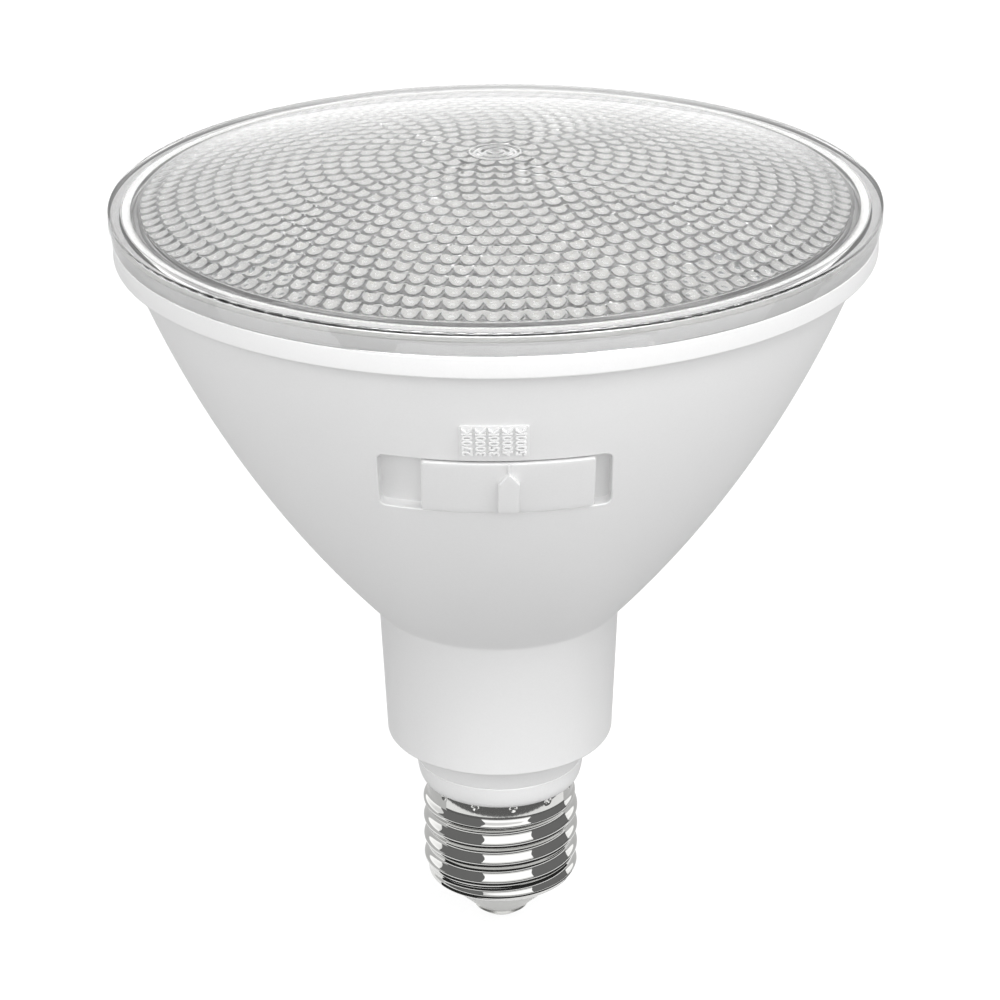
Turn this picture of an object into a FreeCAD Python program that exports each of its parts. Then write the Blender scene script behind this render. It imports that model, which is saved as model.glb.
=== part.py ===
"""Wide reflector lamp with a clear bumpy lens, a white moulded housing, a medium screw base
and a slider on its side that picks one of five whites.

Millimetres. The lamp stands on its contact tip, which is the origin, with its axis along +Z and
the slider at the front, towards -Y. Every piece is a solid of its own in its own file.
"""
import FreeCAD, Part
import math
import os

# Heights, stacked up from the contact tip
contact_height = 2.3          # dome of the centre contact
cone_height = 6.7             # visible cone of the insulator
shell_length = 18.4           # threaded metal shell
collar_length = 9.1           # plastic collar above the shell
neck_length = 23.3
bowl_length = 62.8
ring_height = 3.3             # upright band at the bowl's mouth
rim_height = 4.1              # clear rim of the lens above the housing
dome_rise = 7.4               # crown of the lens above its flat land

# Outside radii
lens_r = 60.5
ring_r = 60.0
bowl_top_r = 57.8
bowl_bottom_r = 19.8
bowl_curve_r = 185.0          # the bowl's side is one arc, bulging outwards
neck_bottom_r = 18.8
collar_r = 14.0
collar_foot_r = 12.8          # where the collar's rounding ends
collar_band = 5.1             # upright part of the collar
thread_crest_r = 13.1
thread_root_r = 12.35
thread_pitch = 3.629          # seven turns to the inch
thread_lead_in = 3.2          # plain band at the shell's top
thread_fade = 1.6             # length over which the thread rises out of the plain band
thread_start = 12.06          # height of one crest above the shell's foot, over the X axis

# Centre contact and the insulator's inside
contact_r = 4.6
contact_flat_r = 1.6
contact_bulge_r = 3.2         # a point on the contact's slightly rounded side
contact_bulge_z = 0.8
rivet_r = 1.5
flare_r = 2.2
flare_height = 0.5
solder_depth = 1.2            # live wire's end above the insulator's face
insulator_wall = 2.6
insulator_hole_r = 1.6

# Walls and fits
bowl_wall = 1.9
neck_wall = 1.9
lens_wall = 1.8
shell_wall = 0.35
sheet_wall = 1.2              # drawn and moulded inner parts
fit_gap = 0.1                 # gap round a piece that is pushed into another
slide_gap = 0.15              # gap round the moving slider
edge_round = 0.4

# Joint between the lens and the housing
land_width = 4.2              # flat land round the lens's dome
lip_r = 58.35                 # tongue of the housing inside the rim
lip_wall = 1.45
lip_height = 2.0
rim_bevel = 0.3
gasket_height = 0.9
skirt_wall = 1.3
skirt_depth = 2.2
mouth_depth = 2.5

# Rings of small lens bumps inside the dome
bump_pitch = 2.83             # from ring to ring
bump_height = 0.45
bump_gap = 0.3                # flat valley between two rings
first_ring = 2
last_ring = 19
bumps_per_step = 6            # ring n holds six times n bumps
ring_turn_deg = 2.0           # each ring is clocked this much past the one inside it
ring_start_deg = -15.8

# Slot, slider and their five positions
slot_drop = 30.0              # slot's lower edge below the lens seat
slot_height = 10.4
slot_corner_r = 1.0
plate_corner_r = 0.6
slot_depth = 3.0
slot_floor = 1.5
slot_wall = 1.5
step_deg = 2.4                # one position of the slider
positions = 5
rest_position = 4             # the position shown, counted from the left
plate_half = 12.8
plate_proud = 0.5
stop_gap = 0.25               # left between plate and slot at either end of the travel
pointer_width = 3.1
pointer_proud = 1.0
pointer_foot = 0.6
pointer_shoulder = 6.4
pointer_tip = 8.5
ridge_width = 0.5
stem_width = 6.0
stem_height = 3.6
barb = 0.8
fork_setback = 0.35           # fork's middle behind the slot floor's back
fork_slot = 2.7
stem_end = 2.1                # stem's length behind the middle of the fork
panel_half = 5.1              # raised panel for the five numbers
panel_height = 6.7
panel_proud = 0.25
panel_gap = 0.3

# Light board and what carries it
board_top_drop = 12.9         # light board's face below the lens seat
light_board_r = 44.0
light_board = 1.6
pan_floor = 1.5
pan_height = 11.5
boss_circle_r = 38.0
boss_r = 3.2
boss_count = 3
boss_start_deg = 90.0
screw_shank_r = 1.2
screw_length = 12.0
screw_head_r = 2.8
screw_head = 1.8
clearance_hole_r = 1.6
pilot_gap = 0.05
wire_hole_r = 3.0
wire_hole_y = 12.0
led_length = 3.5
led_width = 2.8
led_height = 0.7
led_ring_step = 11.0
led_rings = 3

# Driver board
board_thick = 1.6
board_half = 15.4
board_headroom = 20.5         # between the board's top and the pan
tab_half = 8.0
tab_drop = 15.0               # tab below the neck's floor
neck_floor = 1.9
rail_half = 2.2
rail_reach = 3.0
rail_height = 19.0
spigot_wall = 1.6
spigot_depth = 14.0           # length of the spigot inside the shell

# Switch behind the slot
switch_half = 9.5
switch_height = 5.0
switch_depth = 4.5
switch_setback = 3.2          # front face of the switch behind the slot floor's middle
can_wall = 0.5
lever_width = 2.0
lever_height = 2.2
carrier_half = 2.6
carrier_depth = 1.6
post_x = 13.5
post_r = 2.0
small_board = 1.0
small_board_half = 16.5
small_board_height = 13.0
small_shank_r = 0.8
small_head_r = 1.5
small_head = 1.1
small_screw_length = 5.0

# Pieces on the driver board: how far their middles or feet stand above the neck's floor
input_can_r = 5.0
input_can_length = 16.5
input_can_x = -5.0
input_can_rise = 1.5
output_can_r = 4.0
output_can_length = 13.0
output_can_x = -7.0
output_can_rise = 24.0
film_width = 9.0
film_depth = 5.5
film_height = 8.0
film_x = 7.0
low_row_rise = 9.0            # film capacitor, varistor and fuse resistor
varistor_r = 3.6
varistor_depth = 3.4
varistor_x = -8.0
fuse_x = 0.5
chip_x = 8.0
chip_width = 3.9
rectifier_height = 4.7
rectifier_depth = 2.4
driver_chip_height = 4.9
driver_chip_depth = 1.6
rectifier_rise = 7.0
driver_chip_rise = 17.0
choke_x = 7.0
choke_rise = 31.0
transformer_rise = 32.0

# Wires
lead_drop = 1.2               # switch wires end this far below the driver board's top
lead_r = 0.45
mains_r = 0.6

V = FreeCAD.Vector
UP = V(0, 0, 1)
ORIGIN = V(0, 0, 0)
FRONT = -90.0                 # direction of the slider, in degrees from +X

# Levels that follow from the stack
shell_bottom_z = contact_height + cone_height
shell_top_z = shell_bottom_z + shell_length
neck_bottom_z = shell_top_z + collar_length
bowl_bottom_z = neck_bottom_z + neck_length
bowl_top_z = bowl_bottom_z + bowl_length
seat_z = bowl_top_z + ring_height
land_z = seat_z + rim_height
crown_z = land_z + dome_rise
neck_floor_z = neck_bottom_z + neck_floor
slot_low_z = seat_z - slot_drop
slot_high_z = slot_low_z + slot_height
slot_mid_z = (slot_low_z + slot_high_z) / 2
light_board_top_z = seat_z - board_top_drop
pan_floor_z = light_board_top_z - light_board - pan_floor
pan_top_z = pan_floor_z + pan_height
mouth_z = seat_z - mouth_depth
half_board = board_thick / 2
board_top_z = pan_floor_z - board_headroom


def along(start, *stops):
    """Edges from one (radius, height) point through the next: a stop of four numbers is an arc
    through its first two numbers to its last two."""
    edges = []
    here = V(start[0], 0, start[1])
    for stop in stops:
        there = V(stop[-2], 0, stop[-1])
        if len(stop) == 4:
            edges.append(Part.Arc(here, V(stop[0], 0, stop[1]), there).toShape())
        else:
            edges.append(Part.LineSegment(here, there).toShape())
        here = there
    return edges


def turned(start, *stops):
    """Solid turned about the lamp's axis from a closed outline."""
    outline = Part.Wire(along(start, *stops, start))
    return Part.Face(outline).revolve(ORIGIN, UP, 360)


def block(x_low, x_high, y_low, y_high, z_low, z_high):
    """Box between two corners."""
    return Part.makeBox(x_high - x_low, y_high - y_low, z_high - z_low, V(x_low, y_low, z_low))


def rod(radius, start, end):
    """Round bar between two points."""
    return Part.makeCylinder(radius, (end - start).Length, start, end - start)


def prism_through(points, y_low, y_high):
    """Prism along Y from an outline of (x, z) points."""
    wire = Part.makePolygon([V(x, y_low, z) for x, z in points + points[:1]])
    return Part.Face(wire).extrude(V(0, y_high - y_low, 0))


def rounded_through(half, z_low, z_high, corner, y_low, y_high):
    """Bar along Y with a rounded rectangular section."""
    bar = block(-half, half, y_low, y_high, z_low, z_high)
    along_y = [e for e in bar.Edges if abs(e.tangentAt(e.FirstParameter).y) > 0.99]
    return bar.makeFillet(corner, along_y)


def polar(radius, degrees, z):
    """Point at a radius and a direction round the axis."""
    angle = math.radians(degrees)
    return V(radius * math.cos(angle), radius * math.sin(angle), z)


def bowl_centre():
    """Centre of the arc that is the bowl's side, in radius and height."""
    chord = math.hypot(bowl_top_r - bowl_bottom_r, bowl_length)
    middle_r = (bowl_top_r + bowl_bottom_r) / 2
    middle_z = (bowl_top_z + bowl_bottom_z) / 2
    reach = math.sqrt(bowl_curve_r ** 2 - (chord / 2) ** 2)
    inward_r = -bowl_length / chord
    inward_z = (bowl_top_r - bowl_bottom_r) / chord
    return middle_r + reach * inward_r, middle_z + reach * inward_z


def bowl_r(z, inset):
    """Radius of the bowl's side at a height, moved in from the outside by inset."""
    centre_r, centre_z = bowl_centre()
    return centre_r + math.sqrt((bowl_curve_r - inset) ** 2 - (z - centre_z) ** 2)


def bowl_arc(z_low, z_high, inset):
    """Arc stop for an outline that runs along the bowl's side from z_low to z_high."""
    z_middle = (z_low + z_high) / 2
    return (bowl_r(z_middle, inset), z_middle, bowl_r(z_high, inset), z_high)


def bowl_core(z_low, z_high, inset):
    """Solid inside the bowl's side, between two heights."""
    return turned((0, z_low), (bowl_r(z_low, inset), z_low), bowl_arc(z_low, z_high, inset),
                  (0, z_high))


def bowl_layer(z_low, z_high, outer_inset, inner_inset):
    """Layer of the bowl's side between two insets and two heights."""
    return bowl_core(z_low, z_high, outer_inset).cut(bowl_core(z_low, z_high, inner_inset))


def boss_places(z):
    """Centres of the bosses that carry the light board."""
    turn = 360.0 / boss_count
    return [polar(boss_circle_r, boss_start_deg + turn * i, z) for i in range(boss_count)]


def travel_half():
    """Angle from the middle position to either end."""
    return step_deg * (positions - 1) / 2


def rest_turn():
    """Angle of the position shown from the middle one."""
    return step_deg * (rest_position - (positions + 1) / 2)


def fork_r():
    """Radius at which the slider's fork pushes the lever."""
    return bowl_r(slot_mid_z, slot_depth + slot_floor) - fork_setback


def slot_half():
    """Half the slot's width: the plate's corner at the end of its travel, and a gap."""
    reach = bowl_r(slot_high_z, -plate_proud)
    corner = math.asin(plate_half / reach) + math.radians(travel_half())
    return reach * math.sin(corner) + stop_gap


def make_housing():
    """Bowl, neck, collar and spigot, moulded in one with the slot, its floor and the bosses."""
    spigot_r = thread_root_r - shell_wall - fit_gap
    spigot_z = shell_top_z - spigot_depth
    bore_r = spigot_r - spigot_wall
    collar_z = neck_bottom_z - collar_band
    collar_mid_r = collar_foot_r + (collar_r - collar_foot_r) * math.sin(math.pi / 4)
    collar_mid_z = collar_z - (collar_z - shell_top_z) * math.cos(math.pi / 4)
    neck_r = bowl_r(bowl_bottom_z, bowl_wall)
    lip_inner_r = lip_r - lip_wall
    lip_top_z = seat_z + lip_height
    body = turned(
        (bore_r, spigot_z), (spigot_r, spigot_z), (spigot_r, shell_top_z),
        (collar_foot_r, shell_top_z), (collar_mid_r, collar_mid_z, collar_r, collar_z),
        (collar_r, neck_bottom_z), (neck_bottom_r - edge_round, neck_bottom_z),
        (neck_bottom_r, neck_bottom_z + edge_round), (bowl_bottom_r, bowl_bottom_z),
        bowl_arc(bowl_bottom_z, bowl_top_z, 0), (ring_r - edge_round, bowl_top_z),
        (ring_r, bowl_top_z + edge_round), (ring_r, seat_z), (lip_r, seat_z),
        (lip_r, lip_top_z), (lip_inner_r, lip_top_z), (lip_inner_r, mouth_z),
        (bowl_r(mouth_z, bowl_wall), mouth_z), bowl_arc(mouth_z, bowl_bottom_z, bowl_wall),
        (neck_bottom_r - neck_wall, neck_floor_z), (bore_r, neck_floor_z))
    half = slot_half()
    box_low = slot_low_z - slot_wall
    box_high = slot_high_z + slot_wall
    slot_box = block(-half - slot_wall, half + slot_wall, -ring_r, 0, box_low, box_high)
    backing = bowl_layer(box_low, box_high, bowl_wall / 2, slot_depth + slot_floor)
    body = body.fuse(slot_box.common(backing))
    for centre in boss_places(bowl_bottom_z):
        post = rod(boss_r, centre, V(centre.x, centre.y, pan_floor_z))
        body = body.fuse(post.common(bowl_core(bowl_bottom_z, pan_floor_z, bowl_wall / 2)))
    for side in (-1, 1):
        post = rod(post_r, V(side * post_x, -bowl_r(slot_mid_z, 0), slot_mid_z),
                   V(side * post_x, small_board_y(), slot_mid_z))
        inside = bowl_core(box_low, box_high, slot_depth + slot_floor / 2)
        body = body.fuse(post.common(inside))
        rail = block(-rail_reach, rail_reach, -rail_half, rail_half, neck_floor_z,
                     neck_floor_z + rail_height)
        rail.translate(V(side * (neck_bottom_r - neck_wall), 0, 0))
        inner_neck = Part.makeCylinder(neck_bottom_r - neck_wall / 2, neck_length,
                                       V(0, 0, neck_floor_z))
        body = body.fuse(rail.common(inner_neck))
    panel = block(-panel_half, panel_half, -ring_r, 0, slot_high_z + panel_gap,
                  slot_high_z + panel_gap + panel_height)
    panel_skin = bowl_layer(slot_high_z, slot_high_z + 2 * panel_height, -panel_proud,
                            bowl_wall / 2)
    body = body.fuse(panel.common(panel_skin))
    return body.cut(Part.makeCompound(housing_cuts(half, spigot_z)))


def housing_cuts(half, spigot_z):
    """Slot, slit for the slider's stem, pilot holes, board grooves and the wire's notch."""
    slot = rounded_through(half, slot_low_z, slot_high_z, slot_corner_r, -ring_r, 0)
    slot = slot.cut(bowl_core(slot_low_z - slot_wall, slot_high_z + slot_wall, slot_depth))
    swing = fork_r() * math.sin(math.radians(travel_half()))
    slit_half = swing + stem_width / 2 + 2 * stop_gap
    slit_rise = stem_height / 2 + slide_gap
    floor_y = -bowl_r(slot_mid_z, slot_depth + slot_floor)
    slit = block(-slit_half, slit_half, floor_y - 3 * slot_floor, floor_y + 2 * slot_floor,
                 slot_mid_z - slit_rise, slot_mid_z + slit_rise)
    groove_reach = board_half + fit_gap
    groove_half = half_board + fit_gap
    groove = block(-groove_reach, groove_reach, -groove_half, groove_half, neck_floor_z,
                   neck_floor_z + rail_height)
    notch = block(0, thread_root_r, -mains_r - fit_gap, mains_r + fit_gap, spigot_z,
                  spigot_z + 4 * mains_r)
    cuts = [slot, slit, groove, notch]
    pilot_z = light_board_top_z - screw_length - 1
    for centre in boss_places(pilot_z):
        cuts.append(rod(screw_shank_r + pilot_gap, centre, V(centre.x, centre.y, pan_floor_z)))
    for side in (-1, 1):
        end = V(side * post_x, small_board_y(), slot_mid_z)
        cuts.append(rod(small_shank_r + pilot_gap,
                        end - V(0, small_screw_length - small_board + fit_gap, 0), end))
    return cuts


def dome_z(radius, inset):
    """Height of the lens's dome at a radius, moved in from the outside by inset."""
    foot_r = lens_r - land_width - rim_bevel
    curve = (foot_r ** 2 + dome_rise ** 2) / (2 * dome_rise)
    return crown_z - curve + math.sqrt((curve - inset) ** 2 - radius ** 2)


def bump_ring(number):
    """Pyramid faces of one ring of bumps, with its inner and its outer outline."""
    count = bumps_per_step * number
    inner_r = (number - 0.5) * bump_pitch
    outer_r = (number + 0.5) * bump_pitch
    inner_z = dome_z(inner_r, lens_wall)
    outer_z = dome_z(outer_r, lens_wall)
    top_z = dome_z(number * bump_pitch, lens_wall) - bump_height
    start = FRONT + ring_start_deg + ring_turn_deg * number
    inner = []
    outer = []
    tops = []
    for i in range(count):
        edge_deg = start + 360.0 * (i - 0.5) / count
        inner.append(polar(inner_r + bump_gap / 2, edge_deg, inner_z))
        outer.append(polar(outer_r - bump_gap / 2, edge_deg, outer_z))
        tops.append(polar(number * bump_pitch, start + 360.0 * i / count, top_z))
    faces = []
    for i in range(count):
        j = (i + 1) % count
        corners = [inner[i], inner[j], outer[j], outer[i]]
        for a, b in zip(corners, corners[1:] + corners[:1]):
            faces.append(Part.Face(Part.makePolygon([a, b, tops[i], a])))
    return faces, inner, outer


def loop(points):
    """Closed wire through the points."""
    return Part.makePolygon(points + points[:1])


def make_lens():
    """Clear dome with rings of bumps inside, a rim over the housing's lip and a skirt inside it."""
    skirt_outer_r = lip_r - lip_wall - fit_gap
    skirt_inner_r = skirt_outer_r - skirt_wall
    faces, inner, outer = bump_ring(first_ring)
    faces.append(Part.Face(loop(inner)))
    for number in range(first_ring + 1, last_ring + 1):
        more, inner, next_outer = bump_ring(number)
        faces.extend(more)
        faces.append(Part.Face([loop(inner), loop(outer)]))
        outer = next_outer
    carpet_z = outer[0].z
    edge = Part.Wire(Part.makeCircle(skirt_inner_r, V(0, 0, carpet_z), UP))
    faces.append(Part.Face([edge, loop(outer)]))
    foot_r = lens_r - land_width - rim_bevel
    skirt_z = seat_z - skirt_depth
    groove_z = seat_z + lip_height + gasket_height
    groove_r = lip_r + fit_gap
    middle_r = foot_r / 2
    profile = along(
        (skirt_inner_r, carpet_z), (skirt_inner_r, skirt_z), (skirt_outer_r, skirt_z),
        (skirt_outer_r, groove_z), (groove_r, groove_z), (groove_r, seat_z),
        (ring_r, seat_z), (lens_r, seat_z + rim_height / 2), (lens_r, land_z - rim_bevel),
        (lens_r - rim_bevel, land_z), (foot_r, land_z),
        (middle_r, dome_z(middle_r, 0), 0, crown_z))
    faces.extend(Part.Wire(profile).revolve(ORIGIN, UP, 360).Faces)
    skin = Part.makeShell(faces)
    skin.sewShape()
    solid = Part.Solid(skin.Shells[0])
    solid.fix(1e-5, 1e-5, 1e-5)
    return solid


def make_gasket():
    """Soft ring squeezed between the housing's lip and the lens."""
    low = seat_z + lip_height
    return turned((lip_r - lip_wall, low), (lip_r, low), (lip_r, low + gasket_height),
                  (lip_r - lip_wall, low + gasket_height))


def make_heat_sink():
    """Drawn aluminium pan that sits on the bosses and takes the light board's heat to the bowl."""
    outer = bowl_wall + fit_gap
    inner = outer + sheet_wall
    floor_top = pan_floor_z + pan_floor
    pan = turned((0, pan_floor_z), (bowl_r(pan_floor_z, outer), pan_floor_z),
                 bowl_arc(pan_floor_z, pan_top_z, outer), (bowl_r(pan_top_z, inner), pan_top_z),
                 bowl_arc(pan_top_z, floor_top, inner), (0, floor_top))
    return pan.cut(board_holes(pan_floor_z, floor_top))


def board_holes(z_low, z_high):
    """Screw holes and the wire hole through the pan and the light board."""
    holes = [rod(clearance_hole_r, c, V(c.x, c.y, z_high)) for c in boss_places(z_low)]
    holes.append(rod(wire_hole_r, V(0, wire_hole_y, z_low), V(0, wire_hole_y, z_high)))
    return Part.makeCompound(holes)


def make_led_board():
    """Round metal-cored board on the pan."""
    low = light_board_top_z - light_board
    disc = Part.makeCylinder(light_board_r, light_board, V(0, 0, low))
    return disc.cut(board_holes(low, light_board_top_z))


def make_leds(family):
    """Every second light package of each ring, standing on the board."""
    packages = []
    for ring in range(1, led_rings + 1):
        count = 6 * ring
        for i in range(count):
            if i % 2 != family:
                continue
            package = block(-led_length / 2, led_length / 2, -led_width / 2, led_width / 2,
                            light_board_top_z, light_board_top_z + led_height)
            package.translate(V(ring * led_ring_step - led_length / 2, 0, 0))
            package.rotate(ORIGIN, UP, 360.0 * i / count)
            packages.append(package)
    return Part.makeCompound(packages)


def make_board_screws():
    """Pan-head screws through the light board and the pan into the bosses."""
    screws = []
    for centre in boss_places(light_board_top_z):
        tip = centre - V(0, 0, screw_length)
        head = rod(screw_head_r, centre, centre + V(0, 0, screw_head))
        recess = rod(screw_shank_r, centre + V(0, 0, screw_head / 2), centre + V(0, 0, screw_head))
        screws.append(head.fuse(rod(screw_shank_r, tip, centre)).cut(recess))
    return Part.makeCompound(screws)


def make_reflector():
    """White cone from the light board up to the pan's rim."""
    low = light_board_top_z
    high = pan_top_z
    foot_r = light_board_r - 2 * sheet_wall
    mouth_r = bowl_r(high, bowl_wall + fit_gap + 2 * sheet_wall)
    flange_r = bowl_r(high, bowl_wall + 2 * fit_gap)
    return turned((foot_r, low), (light_board_r, low), (mouth_r, high),
                  (flange_r, high), (flange_r, high + sheet_wall),
                  (mouth_r - sheet_wall / 2, high + sheet_wall),
                  (light_board_r - sheet_wall, low + sheet_wall), (foot_r, low + sheet_wall))


def make_selector_slider():
    """Curved plate with a raised pointer, and a barbed stem through the slit to the lever."""
    z_low = slot_low_z + slide_gap
    z_high = slot_high_z - slide_gap
    plate = rounded_through(plate_half, z_low, z_high, plate_corner_r, -ring_r, 0)
    plate = plate.common(bowl_layer(z_low - 1, z_high + 1, -plate_proud, slot_depth - slide_gap))
    half = pointer_width / 2
    foot_z = z_low + pointer_foot
    shoulder_z = z_low + pointer_shoulder
    tip_z = z_low + pointer_tip
    arrow = prism_through([(-half, foot_z), (half, foot_z), (half, shoulder_z), (0, tip_z),
                           (-half, shoulder_z)], -ring_r, 0)
    raised = bowl_layer(z_low - 1, z_high + 1, -plate_proud - pointer_proud, plate_proud)
    ridge = block(-ridge_width / 2, ridge_width / 2, -ring_r, 0, tip_z - ridge_width, z_high)
    low_layer = bowl_layer(z_low - 1, z_high + 1, -plate_proud - ridge_width, plate_proud)
    plate = plate.fuse(arrow.common(raised)).fuse(ridge.common(low_layer))
    back_y = -bowl_r(slot_mid_z, slot_depth - slide_gap - slot_floor)
    inner_y = -fork_r() + stem_end
    rise = stem_height / 2
    stem = block(-stem_width / 2, stem_width / 2, back_y, inner_y, slot_mid_z - rise,
                 slot_mid_z + rise)
    hook_y = -bowl_r(slot_mid_z - rise - barb, slot_depth + slot_floor + 2 * slide_gap)
    hooks = block(-stem_width / 2, stem_width / 2, hook_y, inner_y, slot_mid_z - rise - barb,
                  slot_mid_z + rise + barb)
    fork = block(-fork_slot / 2, fork_slot / 2, -fork_r() - fork_slot / 2, inner_y,
                 slot_mid_z - rise - barb, slot_mid_z + rise + barb)
    inside = bowl_core(z_low - 1, z_high + 1, slot_depth / 2)
    slider = plate.fuse(stem.common(inside)).fuse(hooks).cut(fork)
    slider.rotate(ORIGIN, UP, rest_turn())
    return slider


def switch_front_y():
    """Front face of the switch can."""
    return -bowl_r(slot_mid_z, slot_depth + slot_floor) + switch_setback


def small_board_y():
    """Front face of the switch's board, on the can's back and the two posts."""
    return switch_front_y() + switch_depth


def lever_x():
    """Place of the lever at rest."""
    return fork_r() * math.sin(math.radians(rest_turn()))


def make_switch_body():
    """Folded can of the slide switch, open at the front in a slot for the lever."""
    front = switch_front_y()
    rise = switch_height / 2
    swing = fork_r() * math.sin(math.radians(travel_half()))
    can = block(-switch_half, switch_half, front, small_board_y(), slot_mid_z - rise,
                slot_mid_z + rise)
    window_half = swing + lever_width / 2 + stop_gap
    window_rise = lever_height / 2 + fit_gap
    window = block(-window_half, window_half, front, front + 2 * can_wall,
                   slot_mid_z - window_rise, slot_mid_z + window_rise)
    cavity_half = swing + carrier_half + stop_gap
    cavity_rise = rise - can_wall
    cavity = block(-cavity_half, cavity_half, front + can_wall,
                   front + can_wall + carrier_depth + 2 * fit_gap,
                   slot_mid_z - cavity_rise, slot_mid_z + cavity_rise)
    return can.cut(cavity.fuse(window))


def make_switch_lever():
    """Lever with its carrier, held inside the can, its knob between the slider's fork."""
    x = lever_x()
    back = switch_front_y() + can_wall + fit_gap
    rise = lever_height / 2
    tip = -fork_r() - fork_slot / 2 + 4 * fit_gap
    knob = block(x - lever_width / 2, x + lever_width / 2, tip, back + carrier_depth / 2,
                 slot_mid_z - rise, slot_mid_z + rise)
    carrier_rise = switch_height / 2 - can_wall - fit_gap
    carrier = block(x - carrier_half, x + carrier_half, back, back + carrier_depth,
                    slot_mid_z - carrier_rise, slot_mid_z + carrier_rise)
    return knob.fuse(carrier)


def make_switch_board():
    """Small board that carries the switch and is screwed to the two posts."""
    y = small_board_y()
    board = block(-small_board_half, small_board_half, y, y + small_board,
                  slot_mid_z - small_board_height / 2, slot_mid_z + small_board_height / 2)
    for side in (-1, 1):
        board = board.cut(rod(small_shank_r + fit_gap, V(side * post_x, y, slot_mid_z),
                              V(side * post_x, y + small_board, slot_mid_z)))
    return board


def make_switch_screws():
    """Two small screws through the switch's board into the posts."""
    screws = []
    for side in (-1, 1):
        seat = V(side * post_x, small_board_y() + small_board, slot_mid_z)
        head = rod(small_head_r, seat, seat + V(0, small_head, 0))
        screws.append(head.fuse(rod(small_shank_r, seat - V(0, small_screw_length, 0), seat)))
    return Part.makeCompound(screws)


def make_driver_board():
    """Upright board in the neck's grooves, with a tab down into the base."""
    wide = block(-board_half, board_half, -half_board, half_board, neck_floor_z, board_top_z)
    tab = block(-tab_half, tab_half, -half_board, half_board, neck_floor_z - tab_drop,
                neck_floor_z)
    return wide.fuse(tab).removeSplitter()


def make_transformer():
    """Ferrite core with two windows, and the wound bobbin round its middle leg."""
    middle_z = neck_floor_z + transformer_rise
    core_width = 16.0
    core_depth = 12.0
    core_thick = 5.0
    leg_half = 2.2
    window_half = 5.7
    yoke = 2.2
    base = 1.2
    bobbin_rise = 6.5
    near = -half_board - base - fit_gap
    core = block(-core_width / 2, core_width / 2, near - core_depth, near,
                 middle_z - core_thick / 2, middle_z + core_thick / 2)
    for low, high in ((-window_half, -leg_half), (leg_half, window_half)):
        core = core.cut(block(low, high, near - core_depth + yoke, near - yoke,
                              middle_z - core_thick, middle_z + core_thick))
    coil_half = window_half - fit_gap
    coil = block(-coil_half, coil_half, near - core_depth + yoke + fit_gap, near - yoke - fit_gap,
                 middle_z - bobbin_rise, middle_z + bobbin_rise)
    upright = [e for e in coil.Edges if abs(e.tangentAt(e.FirstParameter).y) > 0.99]
    coil = coil.makeFillet(2 * edge_round, upright)
    hole_half = leg_half + fit_gap
    coil = coil.cut(block(-hole_half, hole_half, near - core_depth, near,
                          middle_z - core_thick / 2 - fit_gap, middle_z + core_thick / 2 + fit_gap))
    foot = block(-core_width / 2, core_width / 2, -half_board - base, -half_board,
                 middle_z - bobbin_rise, middle_z + bobbin_rise)
    ends = []
    for side in (-1, 1):
        low = middle_z + side * (bobbin_rise - 1.5)
        ends.append(block(-leg_half, leg_half, near - yoke - fit_gap, -half_board - base / 2,
                          min(low, low + side), max(low, low + side)))
    return core, coil.multiFuse([foot] + ends)


def can_capacitor(radius, length, x, y, z_low):
    """Upright aluminium can with its rolled groove near the foot and a rounded top."""
    groove = 0.4
    z = z_low
    can = turned((0, z), (radius - groove, z), (radius, z + groove), (radius, z + 4 * groove),
                 (radius - groove, z + 5 * groove), (radius, z + 6 * groove),
                 (radius, z + length - groove), (radius - groove, z + length), (0, z + length))
    can.translate(V(x, y, 0))
    return can


def make_filter_choke():
    """Ferrite drum with its winding between two flanges, standing off the board's back."""
    flange_r = 4.5
    coil_r = 4.1
    length = 8.0
    flange = 1.2
    drum = turned((0, 0), (flange_r, 0), (flange_r, flange), (coil_r, flange),
                  (coil_r, length - flange), (flange_r, length - flange), (flange_r, length),
                  (0, length))
    drum.rotate(ORIGIN, V(1, 0, 0), FRONT)
    drum.translate(V(choke_x, half_board, neck_floor_z + choke_rise))
    return drum


def make_fuse_resistor():
    """Round body on one wire whose two ends are bent down onto the board."""
    body_r = 1.6
    half_length = 4.0
    reach = 6.5
    y = half_board + body_r + fit_gap
    z = neck_floor_z + low_row_rise
    wire = bent_wire([V(fuse_x, half_board, z - reach), V(fuse_x, y, z - reach),
                      V(fuse_x, y, z + reach), V(fuse_x, half_board, z + reach)], lead_r)
    body = rod(body_r, V(fuse_x, y, z - half_length), V(fuse_x, y, z + half_length))
    return body.fuse(wire)


def make_film_capacitor():
    """Box-shaped capacitor on the board's front."""
    front = -half_board - fit_gap / 2
    z = neck_floor_z + low_row_rise
    return block(film_x - film_width / 2, film_x + film_width / 2, front - film_depth, front,
                 z - film_height / 2, z + film_height / 2)


def make_varistor():
    """Flat round disc on the board's back."""
    z = neck_floor_z + low_row_rise
    return rod(varistor_r, V(varistor_x, half_board, z),
               V(varistor_x, half_board + varistor_depth, z))


def chip(height, depth, z, legs):
    """Flat package on the board's back with gull legs down both long sides."""
    leg = 0.8
    leg_width = 0.4
    half = chip_width / 2
    reach = half + leg
    body = block(chip_x - half, chip_x + half, half_board + fit_gap, half_board + depth,
                 z - height / 2, z + height / 2)
    for i in range(legs):
        leg_z = z - height / 2 + height * (i + 0.5) / legs
        body = body.fuse(block(chip_x - reach, chip_x + reach, half_board,
                               half_board + depth / 2, leg_z - leg_width / 2,
                               leg_z + leg_width / 2))
    return body


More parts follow.
